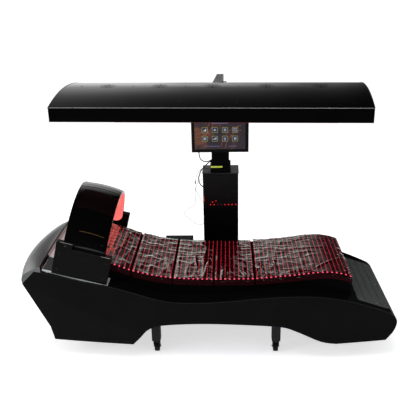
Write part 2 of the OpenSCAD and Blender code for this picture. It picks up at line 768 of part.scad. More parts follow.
module power_supply() {
    w = (cabinet_w - pole_w) / 2 - cabinet_t - 6;
    at_origin() color([0.75, 0.75, 0.76])
        translate([column_x + cabinet_w / 2 - cabinet_t - seat - w, cabinet_y + 20, 320]) cube([w, 150, 220]);
}
rocker_w = 20;
rocker_h = 26;
rocker_z = inlet_z + inlet_h - 24;
rocker_y = cabinet_y + cabinet_d + 1;
module power_inlet() {
    y = cabinet_y + cabinet_d;
    at_origin() color([0.08, 0.08, 0.08]) difference() {
        union() {
            block(column_x, y - inlet_d / 2, inlet_z, inlet_w, inlet_d, inlet_h);
            block(column_x, y + 1.5, inlet_z - 5, inlet_w + 10, 3, inlet_h + 10);
        }
        block(column_x, y, inlet_z + 10, 28, 32, 20);
        block(column_x, y, rocker_z - rocker_h / 2 - 1, rocker_w + 1, 30, rocker_h + 2);
    }
}
module rocker_switch() {
    at_origin() color([0.6, 0.05, 0.05]) translate([column_x, rocker_y, rocker_z]) rotate([8, 0, 0]) union() {
        translate([-rocker_w / 2, 0, 0]) rotate([90, 0, 90]) linear_extrude(height = rocker_w)
            polygon([[-6, -8], [2, -rocker_h / 2 + 1], [4, -rocker_h / 2 + 1], [2.4, 0], [4, rocker_h / 2 - 1],
                [2, rocker_h / 2 - 1], [-6, 8]]);
        translate([-rocker_w / 2 - 0.45, 0, 0]) rotate([0, 90, 0]) cylinder(d = 4, h = rocker_w + 0.9);
    }
}
module tube_block(w, d, z, h, t) {
    difference() {
        block(column_x, pole_y, z, w, d, h);
        block(column_x, pole_y, z - 1, w - 2 * t, d - 2 * t, h + 2);
    }
}
// Small round bosses where the cables enter the side of the pole
cable_d = 7;
side_cable_d = 8;
screen_cable_z = 1120;
screen_cable_y = 545;
side_cable_z = 1104;
side_cable_y = 565;
module pole_sleeve() {
    at_origin() color([0.05, 0.05, 0.05]) union() {
        tube_block(pole_w, pole_d, base_t, pole_h - base_t, pole_t);
        difference() {
            union() {
                block(column_x, pole_y, pole_h - 31, pole_w - 2 * pole_t + 1, pole_d - 2 * pole_t + 1, 32);
                block(column_x, pole_y, pole_h, pole_w, pole_d, 6);
            }
            block(column_x, pole_y, pole_h - 40, lift_w + 2 * seat, lift_d + 2 * seat, 50);
        }
        translate([column_x - pole_w / 2 - 4, screen_cable_y, screen_cable_z]) rotate([0, 90, 0])
            cylinder(d = cable_d + 5, h = 5);
        translate([column_x - pole_w / 2 - 4, side_cable_y, side_cable_z]) rotate([0, 90, 0])
            cylinder(d = side_cable_d + 5, h = 5);
    }
}
module pole_collar() {
    at_origin() color([0.06, 0.06, 0.06]) difference() {
        block(column_x, pole_y, cap_top, pole_w + 20, pole_d + 20, collar_h);
        block(column_x, pole_y, cap_top - 1, pole_w + 2 * seat, pole_d + 2 * seat, collar_h + 2);
    }
}
module status_strip() {
    at_origin() color([0.6, 0.75, 0.2]) translate([column_x - pole_w / 2 - 7,
        pole_y - pole_d / 2 - 10 - 3, cap_top + collar_h - 18]) cube([88, 3, 12]);
}
module actuator_body() {
    at_origin() color([0.5, 0.5, 0.52]) translate([column_x, pole_y, base_t]) difference() {
        cylinder(d = actuator_d, h = actuator_top - base_t);
        translate([0, 0, 30]) cylinder(d = rod_d + 2 * running, h = actuator_top);
    }
}
module actuator_rod() {
    at_origin() color([0.75, 0.75, 0.77]) translate([column_x, pole_y, 350]) cylinder(d = rod_d, h = lift_z - 350);
}
module lift_tube() {
    at_origin() color([0.1, 0.1, 0.1]) union() {
        tube_block(lift_w, lift_d, lift_z, lift_l, pole_t);
        block(column_x, pole_y, lift_z, pole_w - 2 * pole_t - 2 * seat, pole_d - 2 * pole_t - 2 * seat, 6);
        tube_block(pole_w - 2 * pole_t - 2 * seat, pole_d - 2 * pole_t - 2 * seat, lift_z, 30,
            (pole_w - 2 * pole_t - 2 * seat - lift_w) / 2 + 1);
    }
}
module swivel_bearing() {
    at_origin() color([0.6, 0.6, 0.62]) translate([column_x, pole_y, lift_top - bearing_h]) difference() {
        cylinder(d = lift_d - 2 * pole_t - 2 * seat, h = bearing_h);
        translate([0, 0, -1]) cylinder(d = spigot_d + 2 * running, h = bearing_h + 2);
    }
}

// Screen, turned about its tilt axis
module screen_frame() {
    translate([column_x, screen_axis_y, screen_axis_z]) rotate([screen_tilt, 0, 0]) children();
}
module screen_bracket() {
    at_origin() color([0.1, 0.1, 0.1]) translate([column_x, screen_axis_y, screen_axis_z]) union() {
        front = pole_y - pole_d / 2 - screen_axis_y - seat;
        translate([-50, front - 5, -40]) cube([100, 5, 80]);
        translate([-ear_gap / 2 + seat, 0, -9]) cube([ear_gap - 2 * seat, front - 1, 18]);
        translate([-ear_gap / 2 + seat, 0, 0]) rotate([0, 90, 0]) cylinder(d = 18, h = ear_gap - 2 * seat);
        translate([-ear_gap / 2 - 9, 0, 0]) rotate([0, 90, 0]) cylinder(d = tilt_pin_d, h = ear_gap + 18);
    }
}
module screen_housing() {
    recess = 3;
    at_origin() color([0.04, 0.04, 0.04]) screen_frame() difference() {
        union() {
            translate([-screen_w / 2, screen_back - screen_t, -screen_below]) cube([screen_w, screen_t, screen_h]);
            for (s = [-1, 1]) translate([s * (ear_gap / 2 + 4) - 4, 0, 0]) union() {
                translate([0, screen_back - 1, -11]) cube([8, -screen_back + 1, 22]);
                rotate([0, 90, 0]) cylinder(d = 22, h = 8);
            }
            translate([-158, screen_back - 8, -screen_below - 8]) cylinder(d = cable_d + 5, h = 9);
        }
        translate([-screen_w / 2 + bezel, screen_back - screen_t - 1, -screen_below + bezel])
            cube([screen_w - 2 * bezel, recess + 1, screen_h - 2 * bezel]);
        translate([-ear_gap, 0, 0]) rotate([0, 90, 0]) cylinder(d = tilt_pin_d + 2 * running, h = 2 * ear_gap);
    }
}
module display_glass() {
    at_origin() color([0.2, 0.12, 0.16]) screen_frame()
        translate([-screen_w / 2 + bezel + seat, screen_back - screen_t + 0.5, -screen_below + bezel + seat])
            cube([screen_w - 2 * bezel - 2 * seat, 2.5, screen_h - 2 * bezel - 2 * seat]);
}

// Canopy, placed about the pole's axis and swung with the arm
module canopy_place() { translate([column_x, pole_y, 0]) rotate([0, 0, -canopy_swing]) children(); }
module canopy_arm() {
    at_origin() color([0.2, 0.2, 0.2]) canopy_place() union() {
        translate([-arm_w / 2, -arm_l, arm_z]) cube([arm_w, arm_l + arm_tail, arm_h]);
        translate([0, 0, lift_top - bearing_h + 2]) cylinder(d = spigot_d, h = bearing_h);
    }
}
module crown(inset) {
    intersection() {
        translate([-canopy_l, canopy_mid, crown_z - crown_r]) rotate([0, 90, 0])
            cylinder(r = crown_r - inset, h = 2 * canopy_l, $fn = big_fn);
        translate([-canopy_l / 2 + inset, canopy_front + inset, skirt_z - (inset > 0 ? 1 : 0)])
            cube([canopy_l - 2 * inset, canopy_w - 2 * inset, canopy_rise + 10]);
    }
}
module canopy_shell() {
    at_origin() color([0.03, 0.03, 0.03]) canopy_place() difference() {
        crown(0);
        crown(canopy_t);
        for (k = [0 : vent_count - 1], j = [1 : vent_slots])
            translate([(k - (vent_count - 1) / 2) * vent_pitch, canopy_mid + vent_y, skirt_z])
                rotate([0, 0, j * 360 / vent_slots]) translate([vent_core / 2, -vent_slot / 2, 0])
                    cube([(vent_d - vent_core) / 2, vent_slot, 100]);
        translate([-arm_w / 2 - 1, canopy_mid + 205, arm_z - 1]) cube([arm_w + 2, 300, 100]);
    }
}
module canopy_skirt() {
    at_origin() color([0.03, 0.03, 0.03]) canopy_place() difference() {
        translate([-canopy_l / 2, canopy_front, skirt_bottom]) cube([canopy_l, canopy_w, skirt_h]);
        translate([-canopy_l / 2 + canopy_t, canopy_front + canopy_t, skirt_bottom - 1])
            cube([canopy_l - 2 * canopy_t, canopy_w - 2 * canopy_t, skirt_h + 2]);
        translate([-arm_w / 2 - 1, canopy_rear - 50, arm_z - seat]) cube([arm_w + 2, 100, 50]);
    }
}
beam_l = canopy_l - 2 * canopy_t - 2 * seat;
module canopy_tubes(inset) {
    inner_d = canopy_w - 2 * canopy_t - 2 * seat;
    side = canopy_tube - 2 * inset;
    for (y = [-canopy_w / 4, canopy_w / 4]) block(0, canopy_mid + y, frame_top - canopy_tube + inset,
        beam_l + 2 * inset, side, side);
    for (x = [-canopy_l / 3, 0, canopy_l / 3]) block(x, canopy_mid, frame_top - canopy_tube + inset,
        side, inner_d + 2 * inset, side);
}
module canopy_frame() {
    at_origin() color([0.35, 0.35, 0.37]) canopy_place() difference() {
        canopy_tubes(0);
        canopy_tubes(tube_t);
    }
}
module canopy_light_panel() {
    d = canopy_w - 2 * canopy_t - 2 * seat;
    top = frame_top - canopy_tube - seat;
    at_origin() color([0.6, 0.05, 0.08]) canopy_place() difference() {
        block(0, canopy_mid, top - light_panel_t, beam_l, d, light_panel_t);
        block(0, canopy_mid, top - light_panel_t + 4, beam_l - 6, d - 6, light_panel_t);
    }
}

// Cables: round tubes along points in millimetres from the bed's middle on the floor
function unit(v) = v / norm(v);
function heading(p, i) = unit(p[min(i + 1, len(p) - 1)] - p[max(i - 1, 0)]);
function side_of(t) = unit(cross(t, abs(t[1]) > 0.9 ? [1, 0, 0] : [0, 1, 0]));
function ring(p, i, d, n) = let (t = heading(p, i), s = side_of(t), u = cross(t, s))
    [for (k = [0 : n - 1]) p[i] + d / 2 * (cos(360 * k / n) * s + sin(360 * k / n) * u)];
module cable(p, d, n) {
    rings = [for (i = [0 : len(p) - 1]) ring(p, i, d, n)];
    last = (len(p) - 1) * n;
    polyhedron(points = [for (r = rings) for (q = r) q], faces = concat(
        [for (i = [0 : len(p) - 2]) for (k = [0 : n - 1])
            [i * n + k, (i + 1) * n + k, (i + 1) * n + (k + 1) % n, i * n + (k + 1) % n]],
        [[for (k = [0 : n - 1]) k]], [[for (k = [n - 1 : -1 : 0]) last + k]]));
}
screen_cable_points = [[-94, 478, 1197.5], [-94, 479, 1186], [-92, 483, 1168], [-87, 490, 1150], [-78, 500, 1134],
    [-66, 511, 1122], [-51, 522, 1114], [-35, 532, 1111], [-20, 541, 1114], [-12, 545, 1119], [-6, 545, 1120]];
side_cable_points = [[-6, 565, 1104], [-16, 565, 1103], [-30, 563, 1093], [-45, 559, 1078], [-60, 556, 1063],
    [-76, 554, 1048], [-88, 553, 1030], [-96, 554, 1008], [-104, 556, 984], [-106, 558, 960], [-102, 560, 938],
    [-94, 562, 920], [-86, 563, 908], [-77, 564, 902], [-71.5, 564, 901]];
thin_upper_points = [[-12.5, 590, 1042], [-30, 590, 1040], [-48, 588, 1041], [-64, 586, 1043], [-80, 584, 1040],
    [-96, 582, 1028], [-108, 581, 1012], [-118, 580, 994], [-125, 580, 974], [-129, 580, 955], [-132, 580, 942],
    [-134, 580, 918], [-137, 580, 905], [-136, 580, 886], [-130, 580, 866], [-119, 580, 842],
    [-108, 580, 820], [-97, 580, 796], [-88, 580, 778], [-79, 580, 768], [-71.5, 580, 764]];
thin_lower_points = [[-71.5, 600, 952], [-82, 600, 950], [-97, 600, 945], [-110, 600, 932], [-119, 600, 912],
    [-127, 600, 888], [-133, 600, 864], [-138, 600, 840], [-139, 600, 815], [-136, 600, 790], [-135, 600, 765],
    [-139, 600, 744], [-152, 600, 730], [-172, 600, 720], [-193, 600, 706], [-212, 600, 692], [-226, 600, 677],
    [-230, 600, 662], [-222, 600, 648], [-206, 600, 634], [-188, 600, 618], [-170, 600, 602], [-152, 600, 587],
    [-134, 600, 575], [-116, 600, 567], [-98, 600, 567], [-84, 600, 573], [-71.5, 600, 576]];
thin_d = 3;
module screen_cable() { at_origin() color([0.05, 0.05, 0.05]) cable(screen_cable_points, cable_d, 10); }
module side_cable() { at_origin() color([0.05, 0.05, 0.05]) cable(side_cable_points, side_cable_d, 10); }
module thin_cable_upper() { at_origin() color([0.6, 0.6, 0.6]) cable(thin_upper_points, thin_d, 8); }
module thin_cable_lower() { at_origin() color([0.6, 0.6, 0.6]) cable(thin_lower_points, thin_d, 8); }
joiner_at = 10;
joiner_d = 8;
module cable_joiner() {
    a = thin_upper_points[joiner_at];
    v = thin_upper_points[joiner_at + 1] - a;
    at_origin() color([0.05, 0.05, 0.05]) translate(a) rotate([0, acos(v[2] / norm(v)), atan2(v[1], v[0])])
        difference() {
            cylinder(d = joiner_d, h = norm(v));
            translate([0, 0, -1]) cylinder(d = thin_d + 2 * running, h = norm(v) + 2);
        }
}

base_frame();
column_outrigger();
caster_legs();
caster_fork_1();
caster_fork_2();
caster_fork_3();
caster_fork_4();
caster_wheel_1();
caster_wheel_2();
caster_wheel_3();
caster_wheel_4();
side_panel_front();
side_panel_rear();
head_cowl();
head_deck();
deck_board();
deck_ribs();
bed_plinth();
belly_pan();
underglow_strips();
tread_board();
tread_planks();
foot_end_wall();
side_control_box();
mattress_head();
mattress_shoulder();
mattress_back();
mattress_seat();
mattress_leg();
pedestal_front();
pedestal_rear();
hood_shell();
hood_diffuser();
column_base_plate();
column_casing();
column_fascia();
column_cap();
power_supply();
power_inlet();
rocker_switch();
pole_sleeve();
pole_collar();
status_strip();
actuator_body();
actuator_rod();
lift_tube();
swivel_bearing();
screen_bracket();
screen_housing();
display_glass();
canopy_arm();
canopy_shell();
canopy_skirt();
canopy_frame();
canopy_light_panel();
screen_cable();
side_cable();
thin_cable_upper();
thin_cable_lower();
cable_joiner();
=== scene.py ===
"""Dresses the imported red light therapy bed: camera, light, materials and the soft or fine pieces."""
from math import acos, asin, atan2, copysign, cos, exp, hypot, pi, radians, sin, sqrt, tan

import bmesh
import bpy
from mathutils import Matrix, Vector, noise


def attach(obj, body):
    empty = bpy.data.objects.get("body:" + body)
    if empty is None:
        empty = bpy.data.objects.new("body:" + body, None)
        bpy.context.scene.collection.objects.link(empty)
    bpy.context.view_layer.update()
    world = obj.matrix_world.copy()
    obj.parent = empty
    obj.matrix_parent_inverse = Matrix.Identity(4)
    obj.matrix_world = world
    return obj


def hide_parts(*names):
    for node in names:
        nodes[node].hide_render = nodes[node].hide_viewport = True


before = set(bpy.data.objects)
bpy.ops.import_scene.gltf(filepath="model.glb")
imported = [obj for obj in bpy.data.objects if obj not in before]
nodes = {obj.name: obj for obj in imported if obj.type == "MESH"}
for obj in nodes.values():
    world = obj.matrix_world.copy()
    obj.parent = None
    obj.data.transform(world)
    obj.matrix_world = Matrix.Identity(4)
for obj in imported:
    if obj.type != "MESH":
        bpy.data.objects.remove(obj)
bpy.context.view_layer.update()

# The model's frame: bed coordinates in millimetres, shifted to the middle of the bounding box
SHIFT = (0.0293519, -0.149, 0.0)


def place(x, y, z):
    """A point in metres in the model's frame, from millimetres about the middle of the bed."""
    return Vector((x / 1000 + SHIFT[0], y / 1000 + SHIFT[1], z / 1000))


def new_object(name, data):
    obj = bpy.data.objects.new(name, data)
    bpy.context.scene.collection.objects.link(obj)
    return obj


# Camera: focal length in pixels of the 416 pixel wide picture, then its place and angles
FOCAL = 610.5
PICTURE = 416
SENSOR = 36
FAR = 400
CAMERA_PLACE = (124, -3918, 2431)
YAW = radians(-2.066)
PITCH = radians(20.851)
ROLL = radians(-1.083)
forward = Vector((sin(YAW) * cos(PITCH), cos(YAW) * cos(PITCH), -sin(PITCH)))
right = Vector((cos(YAW), -sin(YAW), 0))
up = right.cross(forward)
axes = (cos(ROLL) * right + sin(ROLL) * up, -sin(ROLL) * right + cos(ROLL) * up, -forward)
camera = new_object("camera", bpy.data.cameras.new("camera"))
camera.data.sensor_width = SENSOR
camera.data.lens = FOCAL / PICTURE * SENSOR
camera.data.clip_end = FAR
camera.matrix_world = Matrix.Translation(place(*CAMERA_PLACE)) @ Matrix(axes).transposed().to_4x4()
bpy.context.scene.camera = camera

# Materials
COAT_ROUGHNESS = 0.06
BUMP_DISTANCE = 0.0006
GLOW_ROUGHNESS = 0.35


class Shader:
    """The node tree of a material or the world, with short calls for its nodes."""

    def __init__(self, name, world=False):
        self.owner = (bpy.data.worlds if world else bpy.data.materials).new(name)
        self.owner.use_nodes = True
        self.tree = self.owner.node_tree
        self.tree.nodes.clear()
        self.output = self.add("OutputWorld" if world else "OutputMaterial")

    def put(self, socket, value):
        """Gives an input a plain value, or links it to a node."""
        if isinstance(value, bpy.types.Node):
            value = value.outputs[0]
        if isinstance(value, bpy.types.NodeSocket):
            self.tree.links.new(value, socket)
        else:
            socket.default_value = (*value, 1) if socket.type == "RGBA" else value

    def add(self, kind, *values, **named):
        """A node with its inputs filled in order or by name."""
        node = self.tree.nodes.new("ShaderNode" + kind)
        for socket, value in zip(node.inputs, values):
            self.put(socket, value)
        for name, value in named.items():
            self.put(node.inputs[name.replace("_", " ")], value)
        return node

    def noise(self, scale, detail, rough=0.5, stretch=(1, 1, 1), distortion=0.0):
        vector = self.add("Mapping", Vector=self.add("TexCoord").outputs["Object"], Scale=stretch)
        return self.add("TexNoise", Vector=vector, Scale=scale, Detail=detail, Roughness=rough,
                        Distortion=distortion)

    def ramp(self, value, stops):
        node = self.add("ValToRGB", value)
        elements = node.color_ramp.elements
        while len(elements) < len(stops):
            elements.new(0.5)
        for element, (position, colour) in zip(elements, stops):
            element.position = position
            element.color = (*colour, 1) if isinstance(colour, tuple) else (colour, colour, colour, 1)
        return node

    def span(self, value, low, high, start, end):
        return self.add("MapRange", Value=value, From_Min=start, From_Max=end, To_Min=low, To_Max=high)

    def math(self, operation, first, second, clamp=False):
        node = self.add("Math", first, second)
        node.operation = operation
        node.use_clamp = clamp
        return node

    def bump(self, height, strength, distance):
        return self.add("Bump", Strength=strength, Distance=distance, Height=height)

    def finish(self, shader):
        self.put(self.output.inputs["Surface"], shader)
        return self.owner


def clouds(colour, spread):
    """Stops of a ramp from a little darker to a little lighter than a colour."""
    return [(0.3, tuple(c * (1 - spread) for c in colour)), (0.7, tuple(c * (1 + spread) for c in colour))]


def coated(name, colour, rough, spec, spread, grain, bump, bump_scale, metal=0.0, coat=0.0, uneven=0.15):
    """Painted, moulded or metal surface: clouded colour, uneven gloss and a fine bump."""
    s = Shader(name)
    colour = colour if isinstance(colour, tuple) else (colour, colour, colour)
    gloss = s.span(s.noise(grain * 0.35, 3), rough * (1 - uneven), rough * (1 + uneven), 0.3, 0.7)
    return s.finish(s.add("BsdfPrincipled", Base_Color=s.ramp(s.noise(grain, 5, 0.6), clouds(colour, spread)),
                          Roughness=gloss, Metallic=metal, Specular_IOR_Level=spec, Coat_Weight=coat,
                          Coat_Roughness=COAT_ROUGHNESS,
                          Normal=s.bump(s.noise(bump_scale, 3), bump, BUMP_DISTANCE)))


def glowing(name, colour, strength, spread, grain, base=None):
    """Lit plastic: its light is clouded a little, over a plain surface."""
    s = Shader(name)
    light = s.ramp(s.noise(grain, 3), clouds(colour, spread))
    return s.finish(s.add("BsdfPrincipled", Base_Color=base or tuple(0.3 * c for c in colour),
                          Roughness=GLOW_ROUGHNESS, Specular_IOR_Level=0.3, Emission_Color=light,
                          Emission_Strength=strength))


PANEL = coated("panel_satin", (0.0036, 0.0036, 0.0038), 0.42, 0.04, 0.15, 6, 0.05, 300)
PEDESTAL = coated("pedestal_black", (0.0034, 0.0034, 0.0036), 0.12, 0.05, 0.15, 6, 0.02, 60)
GLOSS = coated("gloss_black", (0.0012, 0.0012, 0.0013), 0.07, 0.5, 0.2, 8, 0.012, 30, coat=0.4)
CANOPY = coated("canopy_gloss", (0.0012, 0.0012, 0.0013), 0.12, 0.15, 0.2, 5, 0.02, 14, uneven=0.3)
SKIRT = coated("skirt_black", 0.001, 0.3, 0.02, 0.2, 5, 0.02, 60)
DECK = coated("deck_gloss", 0.002, 0.09, 0.5, 0.2, 8, 0.01, 30)
# Light grey on the black gloss cowl and head deck stands for the white they reflect: painted reflection.
NOSE = coated("nose_silver", (0.115, 0.118, 0.117), 0.22, 0.5, 0.08, 4, 0.01, 40, metal=0.9)
HEAD_DECK = coated("head_deck_silver", (0.5, 0.53, 0.53), 0.2, 0.5, 0.08, 4, 0.01, 40)
BLACK = coated("black_plastic", 0.004, 0.5, 0.12, 0.25, 60, 0.15, 600)
DULL = coated("dull_black", 0.002, 0.7, 0.05, 0.3, 30, 0.1, 400)
FRAME = coated("frame_paint", (0.006, 0.006, 0.0065), 0.45, 0.2, 0.2, 30, 0.1, 500)
ARM = coated("arm_paint", (0.03, 0.03, 0.031), 0.4, 0.35, 0.2, 30, 0.1, 500)
COLUMN = coated("column_paint", 0.002, 0.55, 0.06, 0.25, 20, 0.12, 600)
FASCIA = coated("fascia_gloss", (0.004, 0.003, 0.0035), 0.3, 0.1, 0.2, 12, 0.01, 60)
STEEL = coated("bright_steel", 0.5, 0.28, 0.5, 0.08, 80, 0.1, 900, metal=1.0)
WOOD = coated("rib_board", (0.35, 0.25, 0.15), 0.6, 0.3, 0.25, 12, 0.2, 90)
RUBBER = coated("black_rubber", 0.006, 0.6, 0.2, 0.2, 50, 0.2, 700)
CABLE = coated("cable_black", 0.004, 0.4, 0.2, 0.15, 80, 0.1, 900)
THIN = coated("cable_grey", 0.03, 0.5, 0.2, 0.1, 80, 0.1, 900)
GOLD = coated("gold_line", (0.28, 0.17, 0.05), 0.35, 0.5, 0.15, 60, 0.05, 400, metal=0.8)
SWITCH = coated("switch_red", (0.35, 0.01, 0.01), 0.25, 0.5, 0.1, 60, 0.05, 400)
DIFFUSER = glowing("diffuser_glow", (1.0, 0.19, 0.17), 0.9, 0.12, 9)
VIOLET = glowing("violet_glow", (0.2, 0.1, 1.0), 1.2, 0.1, 30)
STATUS = glowing("status_glow", (0.42, 0.5, 0.06), 0.9, 0.15, 60)
REDGLOW = glowing("panel_glow", (0.9, 0.02, 0.04), 0.025, 0.2, 40, base=(0.012, 0.001, 0.001))
PANEL_LAMP = glowing("panel_lamp", (0.9, 0.03, 0.06), 0.06, 0.2, 60, base=(0.02, 0.002, 0.002))
PAD = coated("pad_black", (0.02, 0.0012, 0.003), 0.5, 0.05, 0.3, 30, 0.2, 260)
TRIM = coated("trim_black", 0.004, 0.25, 0.3, 0.15, 40, 0.05, 500)
# Light grey for bright lines along black edges: painted highlights.
PAINTED_EDGE_HIGHLIGHT = coated("polished_edge", 0.3, 0.25, 0.5, 0.1, 30, 0.05, 400)
# A little lighter than the black panels, for dim lines along their edges: painted highlights.
PAINTED_DIM_EDGE_HIGHLIGHT = coated("dark_edge", 0.01, 0.3, 0.3, 0.1, 30, 0.05, 400)
LEVER = coated("lever_dark", 0.02, 0.5, 0.3, 0.2, 50, 0.1, 500)
TREAD_RIB = coated("tread_rib", (0.045, 0.048, 0.046), 0.7, 0.2, 0.2, 60, 0.3, 500)
DOME = glowing("lamp_dome", (0.75, 0.022, 0.06), 1.0, 0.15, 60)
DOME_FRONT = glowing("lamp_dome_bright", (1.0, 0.09, 0.17), 1.3, 0.1, 60)
STRIP = glowing("lamp_strip", (0.24, 0.004, 0.017), 1.0, 0.35, 45)
# Red glow at the canopy skirt's lower edge: painted glow.
PAINTED_PANEL_EDGE_GLOW = glowing("red_line", (0.28, 0.01, 0.02), 1.0, 0.3, 12)
INDICATOR = glowing("indicator_red", (0.8, 0.012, 0.02), 1.0, 0.2, 80)
# Violet glow under the side panels' arch edge: painted glow.
PAINTED_VIOLET_GLOW = glowing("violet_guide", (0.05, 0.035, 0.22), 1.0, 0.2, 20)
TILE_BLUE = glowing("page_blue", (0.012, 0.016, 0.075), 0.8, 0.3, 90)
TILE_EDGE = glowing("page_edge", (0.33, 0.36, 0.06), 0.8, 0.2, 90)
SIGN = glowing("page_sign", (0.55, 0.56, 0.6), 0.8, 0.1, 90)
SIGN_DIM = glowing("page_bar", (0.12, 0.1, 0.2), 0.8, 0.2, 90)
BRONZE = glowing("page_bronze", (0.45, 0.13, 0.03), 0.8, 0.3, 60)


def tread_material():
    """Grey ribbed board: long fine grooves across the bed, with a cloudy grain."""
    s = Shader("tread_grey")
    grain = s.noise(90, 4, 0.6, (1, 0.12, 1))
    base = s.ramp(grain, [(0.3, (0.062, 0.067, 0.065)), (0.7, (0.105, 0.111, 0.108))])
    return s.finish(s.add("BsdfPrincipled", Base_Color=base, Roughness=0.65, Specular_IOR_Level=0.25,
                          Normal=s.bump(grain, 0.35, 0.0012)))


def film_material():
    """Clear film: what lies under it shows, and each crinkle mirrors the room."""
    s = Shader("clear_film")
    crinkles = s.math("ADD", s.noise(55, 5, 0.6), s.math("MULTIPLY", s.noise(16, 3, 0.5), 1.5))
    normal = s.bump(crinkles, 0.3, 0.0025)
    share = s.math("MULTIPLY", s.add("Fresnel", IOR=1.5, Normal=normal), 2.7, clamp=True)
    clear = s.add("BsdfTransparent", Color=(0.97, 0.98, 0.98))
    mirror = s.add("BsdfGlossy", Color=(0.88, 1.0, 0.93), Roughness=0.09, Normal=normal)
    return s.finish(s.add("MixShader", share, clear, mirror))


def display_material():
    """Lit display: dark plum ground with slow bronze clouds under glass."""
    s = Shader("display_lit")
    light = s.ramp(s.noise(9, 3, 0.5, distortion=0.6),
                   [(0.35, (0.012, 0.006, 0.014)), (0.55, (0.03, 0.012, 0.016)), (0.68, (0.16, 0.05, 0.02))])
    return s.finish(s.add("BsdfPrincipled", Base_Color=(0.004, 0.003, 0.005), Roughness=0.1,
                          Specular_IOR_Level=0.3, Emission_Color=light, Emission_Strength=0.8))


TREAD = tread_material()
FILM = film_material()
DISPLAY = display_material()
# CAD nodes by the start of their names
DRESSED = (
    ("side_panel foot_end_wall", PANEL), ("pedestal", PEDESTAL), ("hood_shell", GLOSS),
    ("canopy_shell", CANOPY), ("canopy_skirt", SKIRT), ("deck_board tread_board", DECK),
    ("head_cowl", NOSE), ("head_deck", HEAD_DECK), ("bed_plinth belly_pan side_control_box", DULL),
    ("base_frame column_outrigger caster_legs canopy_frame caster_fork", FRAME), ("caster_wheel", RUBBER),
    ("column_base_plate column_casing pole_sleeve pole_collar lift_tube screen_bracket", COLUMN),
    ("column_fascia", FASCIA), ("canopy_arm column_cap", ARM),
    ("screen_housing power_inlet cable_joiner", BLACK),
    ("power_supply actuator_body actuator_rod swivel_bearing", STEEL), ("deck_ribs", WOOD),
    ("hood_diffuser", DIFFUSER), ("underglow_strips", VIOLET), ("status_strip", STATUS),
    ("rocker_switch", SWITCH), ("tread_planks", TREAD), ("display_glass", DISPLAY),
    ("canopy_light_panel", REDGLOW),
)
for starts, material in DRESSED:
    for name, node in nodes.items():
        if name.startswith(tuple(starts.split())):
            for slot in node.material_slots:
                slot.material = material


# Mesh helpers: a shape is a pair of points and faces, and a frame turns local places into points
def make(name, shape, body, material, smooth=True):
    """A mesh piece from a shape in the model's frame, in metres, that rides on a body."""
    points, faces = shape
    mesh = bpy.data.meshes.new(name)
    mesh.from_pydata([tuple(p) for p in points], [], faces)
    mesh.validate()
    obj = new_object(name, mesh)
    bm = bmesh.new()
    bm.from_mesh(mesh)
    bmesh.ops.recalc_face_normals(bm, faces=bm.faces)
    bm.to_mesh(mesh)
    bm.free()
    for polygon in mesh.polygons:
        polygon.use_smooth = smooth
    mesh.materials.append(material)
    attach(obj, body)
    return obj


def joined(shapes):
    """One shape from several."""
    points, faces = [], []
    for more_points, more_faces in shapes:
        faces += [tuple(n + len(points) for n in face) for face in more_faces]
        points += more_points
    return points, faces


def rings_mesh(rings, closed_ends=True, loop=True):
    """A shape that joins rings of equal count."""
    count = len(rings[0])
    points = [p for ring in rings for p in ring]
    faces = []
    for i in range(len(rings) - 1):
        for k in range(count if loop else count - 1):
            a, b = i * count + k, i * count + (k + 1) % count
            faces.append((a, b, b + count, a + count))
    if closed_ends:
        faces.append(tuple(range(count)))
        faces.append(tuple((len(rings) - 1) * count + k for k in reversed(range(count))))
    return points, faces


def bars(specs, frame_of):
    """Bevelled blocks: (x, y, z, sx, sy, sz, bevel) in a local frame."""
    shapes = []
    for x, y, z, sx, sy, sz, bevel in specs:
        layers = []
        for dz, inset in ((0, bevel), (bevel, 0), (sz - bevel, 0), (sz, bevel)):
            hx, hy = sx / 2 - inset, sy / 2 - inset
            layers.append([frame_of(x + a * hx, y + b * hy, z + dz)
                           for a, b in ((-1, -1), (1, -1), (1, 1), (-1, 1))])
        shapes.append(rings_mesh(layers))
    return joined(shapes)


def circle(frame_of, x, y, z, radius, sides):
    return [frame_of(x + radius * cos(2 * pi * k / sides), y + radius * sin(2 * pi * k / sides), z)
            for k in range(sides)]


def discs(specs, frame_of, sides):
    """Low domed discs: (x, y, z, radius, height) in a local frame."""
    steps = ((1.0, 0.0), (1.0, 0.45), (0.8, 0.85), (0.35, 1.0))
    return joined(rings_mesh([circle(frame_of, x, y, z + height * h, radius * r, sides) for r, h in steps])
                  for x, y, z, radius, height in specs)


def add_discs(name, specs, frame_of, body, material, sides=14):
    make(name, discs(specs, frame_of, sides), body, material)


def add_bars(name, specs, frame_of, body, material):
    make(name, bars(specs, frame_of), body, material, smooth=False)


def tube(name, points, radius, body, material):
    """A round bar or cord along points in the model's frame, as a curve."""
    data = bpy.data.curves.new(name, "CURVE")
    data.dimensions = "3D"
    data.bevel_depth = radius
    data.bevel_resolution = 4
    data.use_fill_caps = True
    spline = data.splines.new("NURBS")
    spline.points.add(len(points) - 1)
    for target, source in zip(spline.points, points):
        target.co = (*source, 1)
    spline.order_u = 4
    spline.use_endpoint_u = True
    spline.resolution_u = 6
    data.materials.append(material)
    obj = new_object(name, data)
    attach(obj, body)
    return obj


def add_edges(name, corners, steps, frame_of, radius, body, material):
    """Straight tubes from corner to corner, numbered in their order."""
    for n, (a, b) in enumerate(zip(corners, corners[1:])):
        line = [frame_of(*(p + (q - p) * k / steps for p, q in zip(a, b))) for k in range(steps + 1)]
        tube(f"{name}_{n}", line, radius, body, material)


def rectangle(x0, x1, y0, y1, z):
    """Corners of a level rectangle, with the first one again at the end."""
    return [(x0, y0, z), (x1, y0, z), (x1, y1, z), (x0, y1, z), (x0, y0, z)]


